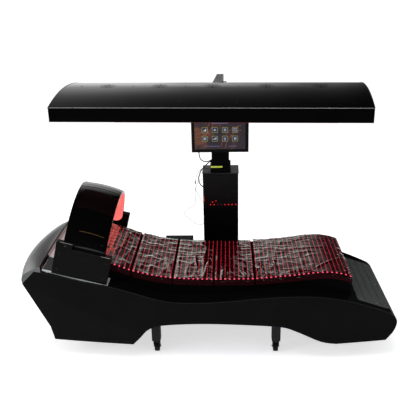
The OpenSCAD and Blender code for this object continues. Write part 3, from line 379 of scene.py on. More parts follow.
# Cords: the same points as the solids
SCREEN_CABLE = [
    (-94, 478, 1197.5), (-94, 479, 1186), (-92, 483, 1168), (-87, 490, 1150), (-78, 500, 1134),
    (-66, 511, 1122), (-51, 522, 1114), (-35, 532, 1111), (-20, 541, 1114), (-12, 545, 1119),
    (-6, 545, 1120)]
SIDE_CABLE = [
    (-6, 565, 1104), (-16, 565, 1103), (-30, 563, 1093), (-45, 559, 1078), (-60, 556, 1063),
    (-76, 554, 1048), (-88, 553, 1030), (-96, 554, 1008), (-104, 556, 984), (-106, 558, 960),
    (-102, 560, 938), (-94, 562, 920), (-86, 563, 908), (-77, 564, 902), (-71.5, 564, 901)]
THIN_UPPER = [
    (-12.5, 590, 1042), (-30, 590, 1040), (-48, 588, 1041), (-64, 586, 1043), (-80, 584, 1040),
    (-96, 582, 1028), (-108, 581, 1012), (-118, 580, 994), (-125, 580, 974), (-129, 580, 955),
    (-132, 580, 942), (-134, 580, 918), (-137, 580, 905), (-136, 580, 886), (-130, 580, 866),
    (-119, 580, 842), (-108, 580, 820), (-97, 580, 796), (-88, 580, 778), (-79, 580, 768),
    (-71.5, 580, 764)]
THIN_LOWER = [
    (-71.5, 600, 952), (-82, 600, 950), (-97, 600, 945), (-110, 600, 932), (-119, 600, 912),
    (-127, 600, 888), (-133, 600, 864), (-138, 600, 840), (-139, 600, 815), (-136, 600, 790),
    (-135, 600, 765), (-139, 600, 744), (-152, 600, 730), (-172, 600, 720), (-193, 600, 706),
    (-212, 600, 692), (-226, 600, 677), (-230, 600, 662), (-222, 600, 648), (-206, 600, 634),
    (-188, 600, 618), (-170, 600, 602), (-152, 600, 587), (-134, 600, 575), (-116, 600, 567),
    (-98, 600, 567), (-84, 600, 573), (-71.5, 600, 576)]


def add_cord(name, node, points, diameter, material):
    path = [place(*p) for p in points]
    obj = tube(name, path, diameter / 2, "bed", material)
    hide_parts(node)


add_cord("screen_cord", "screen_cable", SCREEN_CABLE, 0.007, CABLE)
add_cord("side_cord", "side_cable", SIDE_CABLE, 0.008, CABLE)
add_cord("thin_cord_upper", "thin_cable_upper", THIN_UPPER, 0.003, THIN)
add_cord("thin_cord_lower", "thin_cable_lower", THIN_LOWER, 0.003, THIN)


# Shape lines shared with the solids, in millimetres about the middle of the bed
def blend_point(a, b, c, d, t):
    square, cube = 2 * a - 5 * b + 4 * c - d, 3 * b - a - 3 * c + d
    return 0.5 * (2 * b + (c - a) * t + square * t * t + cube * t ** 3)


def smooth_line(points, steps):
    """Smooth line through points, with a number of steps between two of them."""
    line = []
    for i in range(len(points) - 1):
        a, b = points[max(i - 1, 0)], points[i]
        c, d = points[i + 1], points[min(i + 2, len(points) - 1)]
        for k in range(steps):
            line.append(tuple(blend_point(a[n], b[n], c[n], d[n], k / steps) for n in (0, 1)))
    return line + [points[-1]]


PAD_LINE = smooth_line([
    (-985, 736), (-880, 722), (-780, 702), (-649, 667), (-523, 618), (-387, 583), (-250, 562), (-114, 553),
    (23, 551), (160, 551), (296, 554), (440, 567), (590, 583), (690, 596), (784, 600), (870, 588),
    (937, 563)], 3)
TOP_LINE = smooth_line([
    (-1145, 653), (-1025, 637), (-843, 595), (-641, 558), (-460, 506), (-287, 456), (-71, 448), (141, 461),
    (381, 483), (629, 488), (828, 462), (963, 423), (1080, 382), (1193, 333)], 4)
ARCH_LINE = smooth_line([
    (833, 124), (730, 145), (568, 226), (457, 265), (203, 286), (-68, 294), (-318, 279), (-414, 243),
    (-469, 181), (-520, 124)], 4)


def side_y(x):
    """Distance from the bed's middle line to the outside of a side panel."""
    return 450 - x * x / 24000


def pad_z(x):
    if x <= PAD_LINE[0][0]:
        return PAD_LINE[0][1]
    for (x0, z0), (x1, z1) in zip(PAD_LINE, PAD_LINE[1:]):
        if x <= x1:
            return z0 + (z1 - z0) * (x - x0) / (x1 - x0)
    return PAD_LINE[-1][1]


def turned(x, z, angle, u, w):
    """A point u along and w above a line that falls by an angle from a place."""
    return x + u * cos(angle) + w * sin(angle), z - u * sin(angle) + w * cos(angle)


# Local frames of the hood's deck, the foot step, the screen, the canopy and the cabinet's faces
HOOD_DECK = (-1025, 652)
HOOD_TILT = radians(14.5)
TREAD_EDGE = (975, 412)
TREAD_SLOPE = radians(18.8)
COLUMN_X = 64
CABINET_FRONT = 496
CABINET_REAR = 700
POLE_Y = 578
SCREEN_Y = 488
SCREEN_Z = 1340
SCREEN_TILT = radians(4)
GLASS_Y = -37.5
CANOPY_SWING = radians(-3.6)
CANOPY_TOP = 1774
CROWN_R = 1266.6
CROWN_Y = -560
CROWN_AXIS_Z = CANOPY_TOP - CROWN_R


def hood_frame(u, v, w):
    x, z = turned(*HOOD_DECK, HOOD_TILT, u, w)
    return place(x, v, z)


def tread_frame(u, v, w):
    x, z = turned(*TREAD_EDGE, TREAD_SLOPE, u, w)
    return place(x, v, z)


def screen_frame(x, y, z):
    """The screen's own frame; y points to the pole."""
    c, s = cos(SCREEN_TILT), sin(SCREEN_TILT)
    return place(COLUMN_X + x, SCREEN_Y + y * c - z * s, SCREEN_Z + y * s + z * c)


def screen_face(x, z, out):
    """A place on the display, with a height that stands out from the glass."""
    return screen_frame(x, GLASS_Y - out, z)


def canopy_frame(x, y, z):
    c, s = cos(CANOPY_SWING), sin(CANOPY_SWING)
    return place(COLUMN_X + x * c - y * s, POLE_Y + x * s + y * c, z)


def fascia_face(x, z, out):
    return place(x, CABINET_FRONT - out, z)


def rear_face(x, z, out):
    return place(COLUMN_X - x, CABINET_REAR + out, z)


# Mattress: five firm pads with rounded edges, rows of lights, and a crinkled clear film on each
SEAMS = (-985, -523, -250, 23, 296, 937)
PAD_NAMES = ("head", "shoulder", "back", "seat", "leg")
LAST = len(PAD_NAMES) - 1
PAD_T = 48
PAD_HALF = 320
PAD_GAP = 4
PAD_EDGE = 10
CAMBER = 1.5
LIGHT_ROWS = 25
ROW_PITCH = 25.5
LIGHT_PITCH = 30.3
DOME_R = 3.6
EDGE_DOME_R = 6.5
FILM_HANG = 24
FILM_GAP = 4.5
FILM_STEP = 5.5
FILM_ACROSS = 120
FILM_ROUNDING = 9
HEM = 18


def pad_ends(i):
    return SEAMS[i] + (2 if i == 0 else PAD_GAP), SEAMS[i + 1] - (2 if i == LAST else PAD_GAP)


def edge_drop(distance, radius):
    """How far a rounded edge has fallen at a distance inside the edge."""
    if distance >= radius:
        return 0.0
    rest = radius - max(distance, 0.0)
    return radius - sqrt(max(radius * radius - rest * rest, 0.0))


def rounded_ring(half, top, bottom, radius_top, radius_bottom, bulge):
    """Upper edge, side, lower edge and back again, as places across and heights."""
    ring = []
    for k in range(25):
        y = -(half - radius_top) + 2 * (half - radius_top) * k / 24
        ring.append((y, top - CAMBER * (y / half) ** 2))
    middle = (top + bottom) / 2
    side = []
    for k in range(1, 7):
        a = radians(90 - 15 * k)
        side.append((half - radius_top + radius_top * cos(a),
                     top - CAMBER - radius_top + radius_top * sin(a)))
    side += [(half + bulge, middle + 8), (half - 2.5, middle), (half + bulge, middle - 8)]
    for k in range(6):
        a = radians(-18 * k)
        side.append((half - radius_bottom + radius_bottom * cos(a),
                     bottom + radius_bottom + radius_bottom * sin(a)))
    return ring + side + [(-y, z) for y, z in reversed(side)]


def add_pad(i):
    first, last = pad_ends(i)
    steps = max(int((last - first) / 14), 8)
    stations = [first, first + 1, first + 3, first + 6]
    stations += [first + 10 + (last - first - 20) * k / steps for k in range(steps + 1)]
    stations += [last - 6, last - 3, last - 1, last]
    rings = []
    for x in stations:
        inset = edge_drop(min(x - first, last - x), PAD_EDGE)
        top, bottom = pad_z(x) - inset, pad_z(x) - PAD_T + 1 + inset * 0.7
        ring = rounded_ring(PAD_HALF - 1 - inset, top, bottom, PAD_EDGE, 7, 0.6)
        rings.append([place(x, y, z) for y, z in ring])
    pad = make("pad_" + PAD_NAMES[i], rings_mesh(rings), "bed", PAD)
    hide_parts("mattress_" + PAD_NAMES[i])


def on_pad(x, y):
    """Frame of a light on a pad, standing square to its slope."""
    angle = -atan2(pad_z(x + 6) - pad_z(x - 6), 12)
    base = pad_z(x) - CAMBER * (y / PAD_HALF) ** 2

    def frame_of(a, b, h):
        px, pz = turned(x, base, angle, a, h)
        return place(px, y + b, pz)
    return frame_of


def add_lights(i):
    """Rows of small domes on lit strips, larger and brighter at the front edge."""
    first, last = SEAMS[i], SEAMS[i + 1]
    count = round((last - first - 3) / LIGHT_PITCH)
    columns = [first + (last - first) / count * (k + 0.5) for k in range(count)]
    for name, rows, radius, material in (("lights_", range(1, LIGHT_ROWS), DOME_R, DOME),
                                         ("edge_lights_", (0,), EDGE_DOME_R, DOME_FRONT)):
        spots = [on_pad(x, (row - (LIGHT_ROWS - 1) / 2) * ROW_PITCH) for x in columns for row in rows]
        domes = joined(discs([(0, 0, -0.5, radius, 4.0)], spot, 10) for spot in spots)
        make(name + PAD_NAMES[i], domes, "bed", material)
    strip = (0, 0, -0.6, 4.5, 2 * PAD_HALF - 24, 1.4, 0.4)
    make("light_strips_" + PAD_NAMES[i], joined(bars([strip], on_pad(x, 0)) for x in columns), "bed", STRIP,
         smooth=False)


def crease(x, y, z, power):
    """A sharp fold where the noise crosses zero, from 0 to 1."""
    return max(0.0, 1 - 2.2 * abs(noise.noise(Vector((x, y, z))))) ** power


def fold(x, y, x0, y0, x1, y1, width, height):
    """A fold of the film that runs straight from one place to another."""
    dx, dy = x1 - x0, y1 - y0
    length = hypot(dx, dy)
    along = ((x - x0) * dx + (y - y0) * dy) / length
    across = ((x - x0) * dy - (y - y0) * dx) / length
    ends = max(0.0, min(1.0, along / 30, (length - along) / 30))
    wave = 5 * noise.noise(Vector((along / 50, 0, length)))
    return height * ends * exp(-((across + wave) / width) ** 2)


FOLDS = (
    (505, -262, 672, -282, 8, 11), (560, -250, 600, -292, 7, 9), (640, -258, 690, -300, 6, 8),
    (700, -250, 928, -40, 6, 8), (822, -300, 930, -312, 8, 10), (880, -250, 930, -290, 6, 9),
    (-606, 255, -620, -60, 7, 9), (-320, -60, -262, -240, 8, 9), (-440, 120, -300, 128, 6, 6),
    (90, -150, 75, -300, 6, 8), (60, 30, 130, 40, 5, 6), (180, -120, 240, -290, 6, 7),
    (-190, 200, -60, 215, 7, 6), (330, -60, 390, -300, 6, 8), (430, -40, 450, -280, 6, 7),
    (700, 210, 880, 200, 6, 6), (560, 90, 900, 60, 5, 5), (-20, -60, -45, -300, 6, 8),
    (250, -180, 270, -310, 7, 9), (110, 100, 230, 150, 5, 6), (-120, 30, -90, -180, 6, 6),
    (520, -304, 600, -312, 5, 9), (610, -298, 700, -310, 5, 10), (720, -305, 775, -298, 5, 8),
    (890, -302, 950, -285, 5, 10), (905, -270, 950, -262, 5, 8), (300, -300, 330, -270, 5, 9),
)


def film_height(x, y):
    """Height of the film above the pad."""
    calm = 0.45 if x > 700 else 1.0
    along = crease(x / 330, y / 46, 1.7, 3) * (1.0 if y > -60 else 0.45)
    across = crease(x / 52, y / 240, 8.3, 3) * (0.55 if y > 40 else 1.0)
    slant = crease((x + y) / 75, (x - y) / 260, 4.1, 4)
    small = noise.noise(Vector((x / 19, y / 23, 5.5)))
    big = noise.noise(Vector((x / 75, y / 60, 2.2)))
    height = 4.4 + calm * (3.4 * along + 3.4 * across + 2.6 * slant + 0.5 * small + 3.6 * big)
    for x0, y0, x1, y1, width, top in FOLDS:
        if min(x0, x1) - 30 < x < max(x0, x1) + 30:
            height += fold(x, y, x0, y0, x1, y1, width, top)
    return height


def film_profile(t, height, hang):
    """Across the bed by arc length: flat over the pad, round over its edge, then hanging."""
    half = PAD_HALF - PAD_EDGE
    over = abs(t) - half
    if over <= 0:
        return t, height
    radius = PAD_EDGE + height
    turn = min(over / (PAD_EDGE + 4), pi / 2)
    y = half + radius * sin(turn)
    z = -PAD_EDGE + radius * cos(turn)
    rest = over - (PAD_EDGE + 4) * pi / 2
    if rest > 0:
        z -= rest
        y += hang * (0.4 + rest / 40)
    return copysign(y, t), z


def add_film(i):
    first, last = pad_ends(i)
    start = first + (0 if i == 0 else FILM_GAP)
    end = last - (2 if i == LAST else FILM_GAP)
    steps = int((end - start) / FILM_STEP)
    reach = PAD_HALF - PAD_EDGE + FILM_HANG
    rows = []
    for k in range(steps + 1):
        x = start + (end - start) * k / steps
        inside = min(x - start, end - x)
        drop = edge_drop(inside + FILM_ROUNDING / 2, FILM_ROUNDING)
        row = []
        for n in range(FILM_ACROSS + 1):
            t = -reach + 2 * reach * n / FILM_ACROSS
            edge = noise.noise(Vector((x / 33, copysign(3, t), 9)))
            if abs(t) > reach - HEM:
                t -= copysign((abs(t) - reach + HEM) / HEM * (4 + 9 * edge), t)
            hang = 2.5 * noise.noise(Vector((x / 16, t / 30, 6.1))) + 1.5
            y, z = film_profile(t, film_height(x, t), hang)
            row.append(place(x, y, pad_z(x) + z - drop - CAMBER * (y / 330) ** 2))
        rows.append(row)
    shape = rings_mesh(rows, closed_ends=False, loop=False)
    film = make("film_" + PAD_NAMES[i], shape, "bed", FILM)


def add_seam(i):
    """Black gusset that fills the seam between two pads, a little below their tops."""
    gusset = (0, 0, -PAD_T + 4, 2 * PAD_GAP + 12, 2 * PAD_HALF - 14, PAD_T - 11, 2)
    add_bars("seam_" + PAD_NAMES[i], [gusset], on_pad(SEAMS[i + 1], 0), "bed", DULL)


for index in range(LAST):
    add_seam(index)
for index in range(LAST + 1):
    add_pad(index)
    add_lights(index)
    add_film(index)


# Hood: trims on its ends, the seam along its top, a pinstripe, fasteners and small inner lights
HOOD_R = 370
HOOD_AXIS_W = 128
HOOD_BOW_R = 450
HOOD_MID = 165
HOOD_DEPTH = 14
HOOD_LOW_W = 194
HOOD_LEAN = radians(1.9)
HOOD_HEAD_U = 34
HOOD_HEAD_W = 300
HOOD_L = 276


def hood_end_u(w, back):
    """Where the leaning end of the hood lies along the deck, at a height above the deck."""
    return HOOD_HEAD_U - (w - HOOD_HEAD_W) * tan(HOOD_LEAN) + back / cos(HOOD_LEAN)


def hood_point(u, angle, radius):
    """A place on the hood's bowed round skin; the angle is 0 at the top and grows to the front."""
    rho = HOOD_BOW_R + radius * cos(angle)
    w = HOOD_AXIS_W - HOOD_BOW_R + sqrt(rho * rho - (u - HOOD_MID) ** 2)
    return u, -radius * sin(angle), w


def leaning_u(angle, radius, back):
    """Where the skin meets a plane that leans as the hood's ends do."""
    u = HOOD_MID
    for _ in range(20):
        u = hood_end_u(hood_point(u, angle, radius)[2], back)
    return u


def hood_arc(radius, back):
    """Line around the arch in a leaning plane."""
    rho = hypot(HOOD_LOW_W - HOOD_AXIS_W + HOOD_BOW_R, hood_end_u(HOOD_LOW_W, back) - HOOD_MID)
    low = acos((rho - HOOD_BOW_R) / radius)
    angles = [low - 2 * low * k / 64 for k in range(65)]
    return [hood_frame(*hood_point(leaning_u(angle, radius, back), angle, radius)) for angle in angles]


def on_hood(u, degrees, front=True):
    """Frame on the hood's outside: along the deck, around the arch, outward."""
    sign = 1 if front else -1

    def frame_of(du, dv, h):
        return hood_frame(*hood_point(u + du, sign * (radians(degrees) + dv / HOOD_R), HOOD_R + h))
    return frame_of


def along_hood(degrees, start, end, out, front=True):
    return [on_hood(start + (end - start) * k / 16, degrees, front)(0, 0, out) for k in range(17)]


tube("hood_trim_head", hood_arc(HOOD_R - 2.5, 1.5), 0.0022, "hood", TRIM)
tube("hood_trim_foot", hood_arc(HOOD_R - 2.5, HOOD_L - 1.5), 0.0022, "hood", TRIM)
tube("hood_lip", hood_arc(HOOD_R - HOOD_DEPTH - 1, HOOD_L - 1), 0.0016, "hood", TRIM)
tube("hood_joint", along_hood(4, 29, 302, 0.2), 0.0017, "hood", DULL)
tube("hood_pinstripe", along_hood(62.5, 120, 284, 0.4), 0.0013, "hood", GOLD)
tube("hood_pinstripe_rear", along_hood(62.5, 120, 284, 0.4, False), 0.0013, "hood", GOLD)
for side, front in (("front", True), ("rear", False)):
    screws = [discs([(0, 0, -0.3, radius, 2.2)], on_hood(u, degrees, front), 20)
              for u, degrees, radius in ((40, 21, 9), (280, 70, 6))]
    make("hood_screws_" + side, joined(screws), "hood", TRIM)
LIGHTS_R = HOOD_R - HOOD_DEPTH - 3.6
lights = []
for row in range(8):
    for k in range(25):
        angle = radians(-70 + 140 * k / 24)
        u = leaning_u(angle, LIGHTS_R, 22 + 34 * row)
        lights.append(discs([(0, 0, 0, 5, 1.6)], lambda x, y, h: hood_frame(
            *hood_point(u + x, angle + y / LIGHTS_R, LIGHTS_R - h)), 8))
make("hood_lights", joined(lights), "hood", DOME)


# Head end: painted highlights along the pedestal's edges, screws, a black band on the cowl's rim as painted
# shadow, the deck's closing strips and the plate on the deck
COWL_X = -1100
COWL_RIM = (399.5, 701.7, 13.6)
COWL_INNER_RIM = (383.5, 690.8, 14.5)
DECK_HEAD = (-1089.5, 668.8)
RIM_STEPS = 48
STRIP_STEPS = 24


def add_pedestal_tube(name, start, end, material):
    """Straight edge between two places along, across and above the hood's deck."""
    line = [hood_frame(*(a + (b - a) * k / 8 for a, b in zip(start, end))) for k in range(9)]
    tube("pedestal_" + name, line, 0.0012, "bed", material)


# Lines along the pedestal's edges in the highlight materials: painted highlights.
for side, sign in (("front", -1), ("rear", 1)):
    y = sign * 409.2
    add_pedestal_tube("block_edge_" + side, (22, y, 230.2), (103, y, 230.2), PAINTED_EDGE_HIGHLIGHT)
    add_pedestal_tube("edge_" + side, (108, y, 192.2), (290, y, 192.2), PAINTED_DIM_EDGE_HIGHLIGHT)
    add_pedestal_tube("edge_foot_" + side, (292, y, 192.2), (354, y, 192.2), PAINTED_EDGE_HIGHLIGHT)
    add_pedestal_tube("end_edge_" + side, (362.6, sign * 409, 192.2), (362.6, sign * 363, 192.2), PAINTED_DIM_EDGE_HIGHLIGHT)
    spots = [(u, w, -0.2, 4, 1.6) for u, w in ((30, 150), (200, 150), (335, 150), (335, 40), (30, 40))]
    hub = [(60, 212, -0.2, 9, 2.4)]
    for name, specs, sides in (("pedestal_screws_", spots, 14), ("hinge_cap_", hub, 20)):
        add_discs(name + side, specs, lambda u, w, h: hood_frame(u, sign * (410 + h), w), "bed", TRIM,
                  sides)


def cowl_rim(y, half, top, fall):
    """Height of an edge of the cowl's rim at a distance from the bed's middle line."""
    return top - fall * abs(y / half) ** 3


# A black band around the cowl's rim stands for the shadow along the rim's edge: painted shadow.
rings = []
for k in range(RIM_STEPS + 1):
    y = -394 + 788 * k / RIM_STEPS
    top, low = cowl_rim(y, *COWL_RIM) + 1.4, cowl_rim(y, *COWL_INNER_RIM) - 1.0
    rings.append([place(COWL_X + dx, y, z) for dx, z in (
        (-3, top), (0.6, top), (1.8, top - 1.5), (1.8, low + 1), (0.8, low), (-3, low))])
make("cowl_edge_seal", rings_mesh(rings), "bed", TRIM)
# The closing strip under the rim takes the head deck's grey, a painted reflection; its front part is black.
for name, start, end, material in (("deck_closing_strip", -204, 380, HEAD_DECK),
                                   ("deck_closing_strip_front", -380, -204.5, TRIM)):
    rings = []
    for k in range(STRIP_STEPS + 1):
        y = start + (end - start) * k / STRIP_STEPS
        low = cowl_rim(y, *COWL_INNER_RIM)
        rings.append([place(x, y, z) for x, z in (
            DECK_HEAD, (COWL_X + 1, low), (COWL_X - 3, low), (DECK_HEAD[0] - 3, DECK_HEAD[1] - 2))])
    make(name, rings_mesh(rings), "bed", material, smooth=False)
add_bars("deck_front_pad", [(-33.5, -297, -0.2, 63, 182, 3, 0.8)], hood_frame, "bed", TRIM)

# Bed sides: a painted highlight along the upper edge of the panels, and glowing violet strips under the arch
# as painted glow
for side, sign in (("front", -1), ("rear", 1)):
    edge = [place(x, sign * (side_y(x) - 0.8), z - 0.6) for x, z in TOP_LINE[::2]]
    tube("panel_edge_" + side, edge, 0.0014, "bed", PAINTED_DIM_EDGE_HIGHLIGHT)
    # A glowing violet strip under the arch's edge, where the underglow lights it: painted glow.
    under = [place(x, sign * (side_y(x) - 5), z - 0.6) for x, z in reversed(ARCH_LINE) if -340 < x < 480]
    tube("light_guide_" + side, under, 0.0022, "bed", PAINTED_VIOLET_GLOW)

# Foot step: fine ribs on each plank and countersunk screws
PLANKS = 4
PLANK_PITCH = 218 / cos(TREAD_SLOPE) / PLANKS
ribs = [(k * PLANK_PITCH + 8 + n * (PLANK_PITCH - 16) / 5, 0, -0.2, 2.2, 640, 0.9, 0.3)
        for k in range(PLANKS) for n in range(6)]
add_bars("tread_ribs", ribs, tread_frame, "bed", TREAD_RIB)
spots = [(k * PLANK_PITCH + PLANK_PITCH / 2 + 2.5, y, -0.1, 4, 0.9)
         for k in range(PLANKS) for y in (-300, 0, 300)]
add_discs("tread_screws", spots, tread_frame, "bed", STEEL)

# Canopy: painted highlights along the skirt's top edges, a painted glow along its lower front edge, trims,
# vent grilles, screws and the light panel's lamps
SKIRT_TOP = 1708
SKIRT_BOTTOM = 1623
LEFT, RIGHT = -960, 960
FRONT, REAR = -963.5, -156.5
VENT_SIDES = 28


def add_skirt_edges(name, corners, radius, material):
    add_edges(name, corners, 14, canopy_frame, radius, "canopy", material)


# Lines along the skirt's top edges in the highlight materials: painted highlights.
y = FRONT - 0.4
add_skirt_edges("skirt_trim", [(LEFT, y, SKIRT_TOP), (RIGHT, y, SKIRT_TOP)], 0.0013, PAINTED_EDGE_HIGHLIGHT)
y = REAR + 0.4
add_skirt_edges("skirt_trim_rear", [(RIGHT, y, SKIRT_TOP), (LEFT, y, SKIRT_TOP)], 0.0013, PAINTED_DIM_EDGE_HIGHLIGHT)
# A red glowing line under the skirt's front edge, where the light panel's light shows: painted glow.
y, z = FRONT + 4, SKIRT_BOTTOM - 0.8
add_skirt_edges("skirt_glow", [(-560, y, z), (760, y, z)], 0.0024, PAINTED_PANEL_EDGE_GLOW)
add_skirt_edges("skirt_lower_trim", rectangle(LEFT, RIGHT, FRONT, REAR, SKIRT_BOTTOM), 0.0016, TRIM)
rows = [FRONT + (REAR - FRONT) * k / 24 for k in range(25)]
for name, x in (("left", LEFT), ("right", RIGHT)):
    rim = [canopy_frame(x, y, CROWN_AXIS_Z + sqrt(CROWN_R ** 2 - (y - CROWN_Y) ** 2) - 0.5) for y in rows]
    tube("crown_rim_" + name, rim, 0.0022, "canopy", TRIM)


def on_crown(x, y):
    """Frame on the canopy's round top: along it, around it, outward."""
    angle = asin((y - CROWN_Y) / CROWN_R)

    def frame_of(a, b, h):
        turn = angle + b / CROWN_R
        r = CROWN_R + h
        return canopy_frame(x + a, CROWN_Y + r * sin(turn), CROWN_AXIS_Z + r * cos(turn))
    return frame_of


vents = [on_crown(340 * k, -590) for k in range(-2, 3)]
steps = ((0.0, -0.2), (0.3, 0.7), (1.9, 0.7), (2.2, -0.2))
rings = [rings_mesh([circle(vent, 0, 0, h, r + dr, VENT_SIDES) for dr, h in steps], closed_ends=False)
         for vent in vents for r in (50.0, 11.0)]
meshes = [discs([(0, 0, -7.5, 47, 1.2)], vent, VENT_SIDES) for vent in vents]
screws = [discs([(0, 0, -0.2, 5, 1.8)], on_crown(x, y), 14)
          for x in (-850, -510, -170, 170, 510, 850) for y in (-597, -900, -230)]
make("vent_rings", joined(rings), "canopy", TRIM)
make("vent_meshes", joined(meshes), "canopy", DULL)
make("canopy_screws", joined(screws), "canopy", TRIM)
lamps = [((k - 21.5) * 42, CROWN_Y + (row - 8) * 44, 0, 8, 3.5) for k in range(44) for row in range(17)]
add_discs("panel_lamps", lamps, lambda x, y, h: canopy_frame(x, y, 1633.4 - h), "canopy", PANEL_LAMP,
          8)
bolts = [(x, y, 1749.4, 6, 2.2) for x in (-13, 13) for y in (-575, -530, -430, 20, 45)]
add_discs("arm_bolts", bolts, canopy_frame, "canopy", BLACK, 16)
# A black cap on the arm's front end, darker than the arm, also stands for the shade in the skirt's notch:
# partly a cap, partly painted shade.
add_bars("arm_end_cap", [(0, -599, 1702, 46, 2.5, 44, 0.8)], canopy_frame, "canopy", BLACK)

# Column front: indicator lights, two glowing dots as painted highlights, screws, collar and cap trims
row = [(-15 + 27.7 * k, 776.3, -0.3, 4.6, 1.6) for k in range(8)]
# The two extra glowing dots above the row sit where highlights fall on the fascia's lettering: painted
# highlights.
bright = row[:2] + row[4:] + [(1, 797, -0.3, 4.6, 1.6), (28, 807, -0.3, 4.2, 1.6)]
add_discs("indicators", bright, fascia_face, "bed", INDICATOR)
add_discs("indicators_dim", row[2:4], fascia_face, "bed", SWITCH)
add_bars("status_line", [(-64, 822, -0.2, 3, 50, 1.0, 0.3)], fascia_face, "bed", INDICATOR)
lower_edge = [(COLUMN_X, 754, -0.2, 268, 2.5, 1.2, 0.4)]
add_bars("fascia_lower_edge", lower_edge, fascia_face, "bed", TRIM)
screws = [(x, z, -0.2, 3.5, 1.2) for x in (-58, 186) for z in (770, 1010)]
add_discs("fascia_screws", screws, fascia_face, "bed", TRIM)
for n, z in enumerate((1087.5, 1032.5)):
    add_edges(f"collar_edge_{n}", rectangle(-12.5, 140.5, 507.5, 648.5, z), 6, place, 0.0012, "bed", TRIM)
cap = rectangle(-74, 202, 497.2, 702.8, 1030.5)
add_edges("cap_edge", cap, 6, place, 0.0013, "bed", TRIM)


# Cabinet: rear door with hinges, lock and louvres, louvres and screws on its sides, anchor nuts
def add_cabinet_bars(name, specs, frame_of, material):
    add_bars(name, specs, frame_of, "bed", material)


add_cabinet_bars("rear_door", [(0, 560, -0.3, 236, 760, 1.8, 0.6)], rear_face, COLUMN)
add_cabinet_bars("rear_hinges", [(-112, z, 1.0, 8, 46, 4, 1.2) for z in (260, 560, 860)], rear_face, STEEL)
add_discs("rear_lock", [(98, 560, 1.2, 9, 3.0)], rear_face, "bed", STEEL, 20)
louvres = [(0, 800 + 14 * k, 1.4, 150, 4, 2.0, 0.8) for k in range(7)]
add_cabinet_bars("rear_louvres", louvres, rear_face, DULL)
louvres = [(600, 300 + 14 * k, -0.2, 120, 4, 1.6, 0.6) for k in range(9)]
screws = [(y, z, -0.2, 3.5, 1.4) for y in (512, 688) for z in (30, 520, 1005)]
for name, side_face in (("left", lambda y, z, h: place(-71 - h, y, z)),
                        ("right", lambda y, z, h: place(199 + h, y, z))):
    add_cabinet_bars("louvres_" + name, louvres, side_face, DULL)
    add_discs("cabinet_screws_" + name, screws, side_face, "bed", STEEL)
nuts = [(COLUMN_X + 150 * i, 600 + 125 * j, 9.9, 10, 5.5) for i in (-1, 1) for j in (-1, 1)]
add_discs("anchor_nuts", nuts, place, "bed", STEEL, 6)

# Screen: a generic control page, rounded bezel, and bolts on the tilt bracket
TILE_HALF = 21
TILE_INNER = TILE_HALF - 2.2
TILE_CORNER = 6
TILE_SIGNS = (
    [(-7, -6, 7, 6), (0, -3, 7, 12), (7, 0, 7, 18)],
    [(0, 0, 4, 20), (0, 0, 20, 4)],
    [(0, -7, 20, 3), (0, 0, 14, 3), (0, 7, 20, 3)],
    [(-9, 0, 2.6, 20), (9, 0, 2.6, 20), (0, 9, 20, 2.6), (0, -9, 20, 2.6)],
    [(x, z, 5, 5) for x in (-7, 0, 7) for z in (-7, 0, 7)],
    [(k * 6 - 9, -4 + 2 * k, 3.2, 8 + 4 * k) for k in range(4)],
    [(0, 4, 18, 3), (0, -4, 3, 14), (0, -10, 12, 3)],
    [(-5, 0, 5, 18), (5, 0, 5, 18)],
)
PAGE_CURVES = ((150, 190, -110), (185, 190, -110), (120, -190, 128), (150, -190, 128))
BEZEL_HALF = 209
BEZEL_LOW = -132
BEZEL_HIGH = 140


def tile_plate(cx, cz, half, low, high):
    """A thin plate with rounded corners."""
    rim = []
    for sx, sz, start in ((1, 1, 0), (-1, 1, 90), (-1, -1, 180), (1, -1, 270)):
        for k in range(4):
            a = radians(start + 30 * k)
            rim.append((sx * (half - TILE_CORNER) + TILE_CORNER * cos(a),
                        sz * (half - TILE_CORNER) + TILE_CORNER * sin(a)))
    return rings_mesh([[screen_face(cx + x, cz + z, h) for x, z in rim] for h in (low, high)])


fills, edges, signs = [], [], []
for n, blocks in enumerate(TILE_SIGNS):
    cx, cz = (n % 4 - 1.5) * 74, 38 - (n // 4) * 66
    edges.append(tile_plate(cx, cz, TILE_HALF, 0.02, 0.16))
    fills.append(tile_plate(cx, cz, TILE_INNER, 0.1, 0.24))
    blocks = [(cx + x, cz + z, 0.2, sx, sz, 0.16, 0.02) for x, z, sx, sz in blocks]
    signs.append(bars(blocks, screen_face))
make("page_tiles", joined(fills), "screen", TILE_BLUE, smooth=False)
make("page_tile_edges", joined(edges), "screen", TILE_EDGE, smooth=False)
make("page_signs", joined(signs), "screen", SIGN, smooth=False)
page_bars = [(x, z, 0.05, sx, sz, 0.16, 0.02) for x, z, sx, sz in (
    (0, 90, 120, 8), (-60, -86, 110, 5), (90, -86, 60, 5))]
add_bars("page_bars", page_bars, screen_face, "screen", SIGN_DIM)
for n, (radius, cx, cz) in enumerate(PAGE_CURVES):
    turns = [radians(360 * k / 39) for k in range(40)]
    spots = [(cx + radius * cos(a), cz + radius * sin(a)) for a in turns]
    line = [screen_face(x, z, 0.06) for x, z in spots if abs(x) < 180 and -104 < z < 112]
    tube(f"page_curve_{n}", line, 0.0008, "screen", BRONZE)


def screen_back(x, z, h):
    return screen_frame(-x, -12 + h, z)


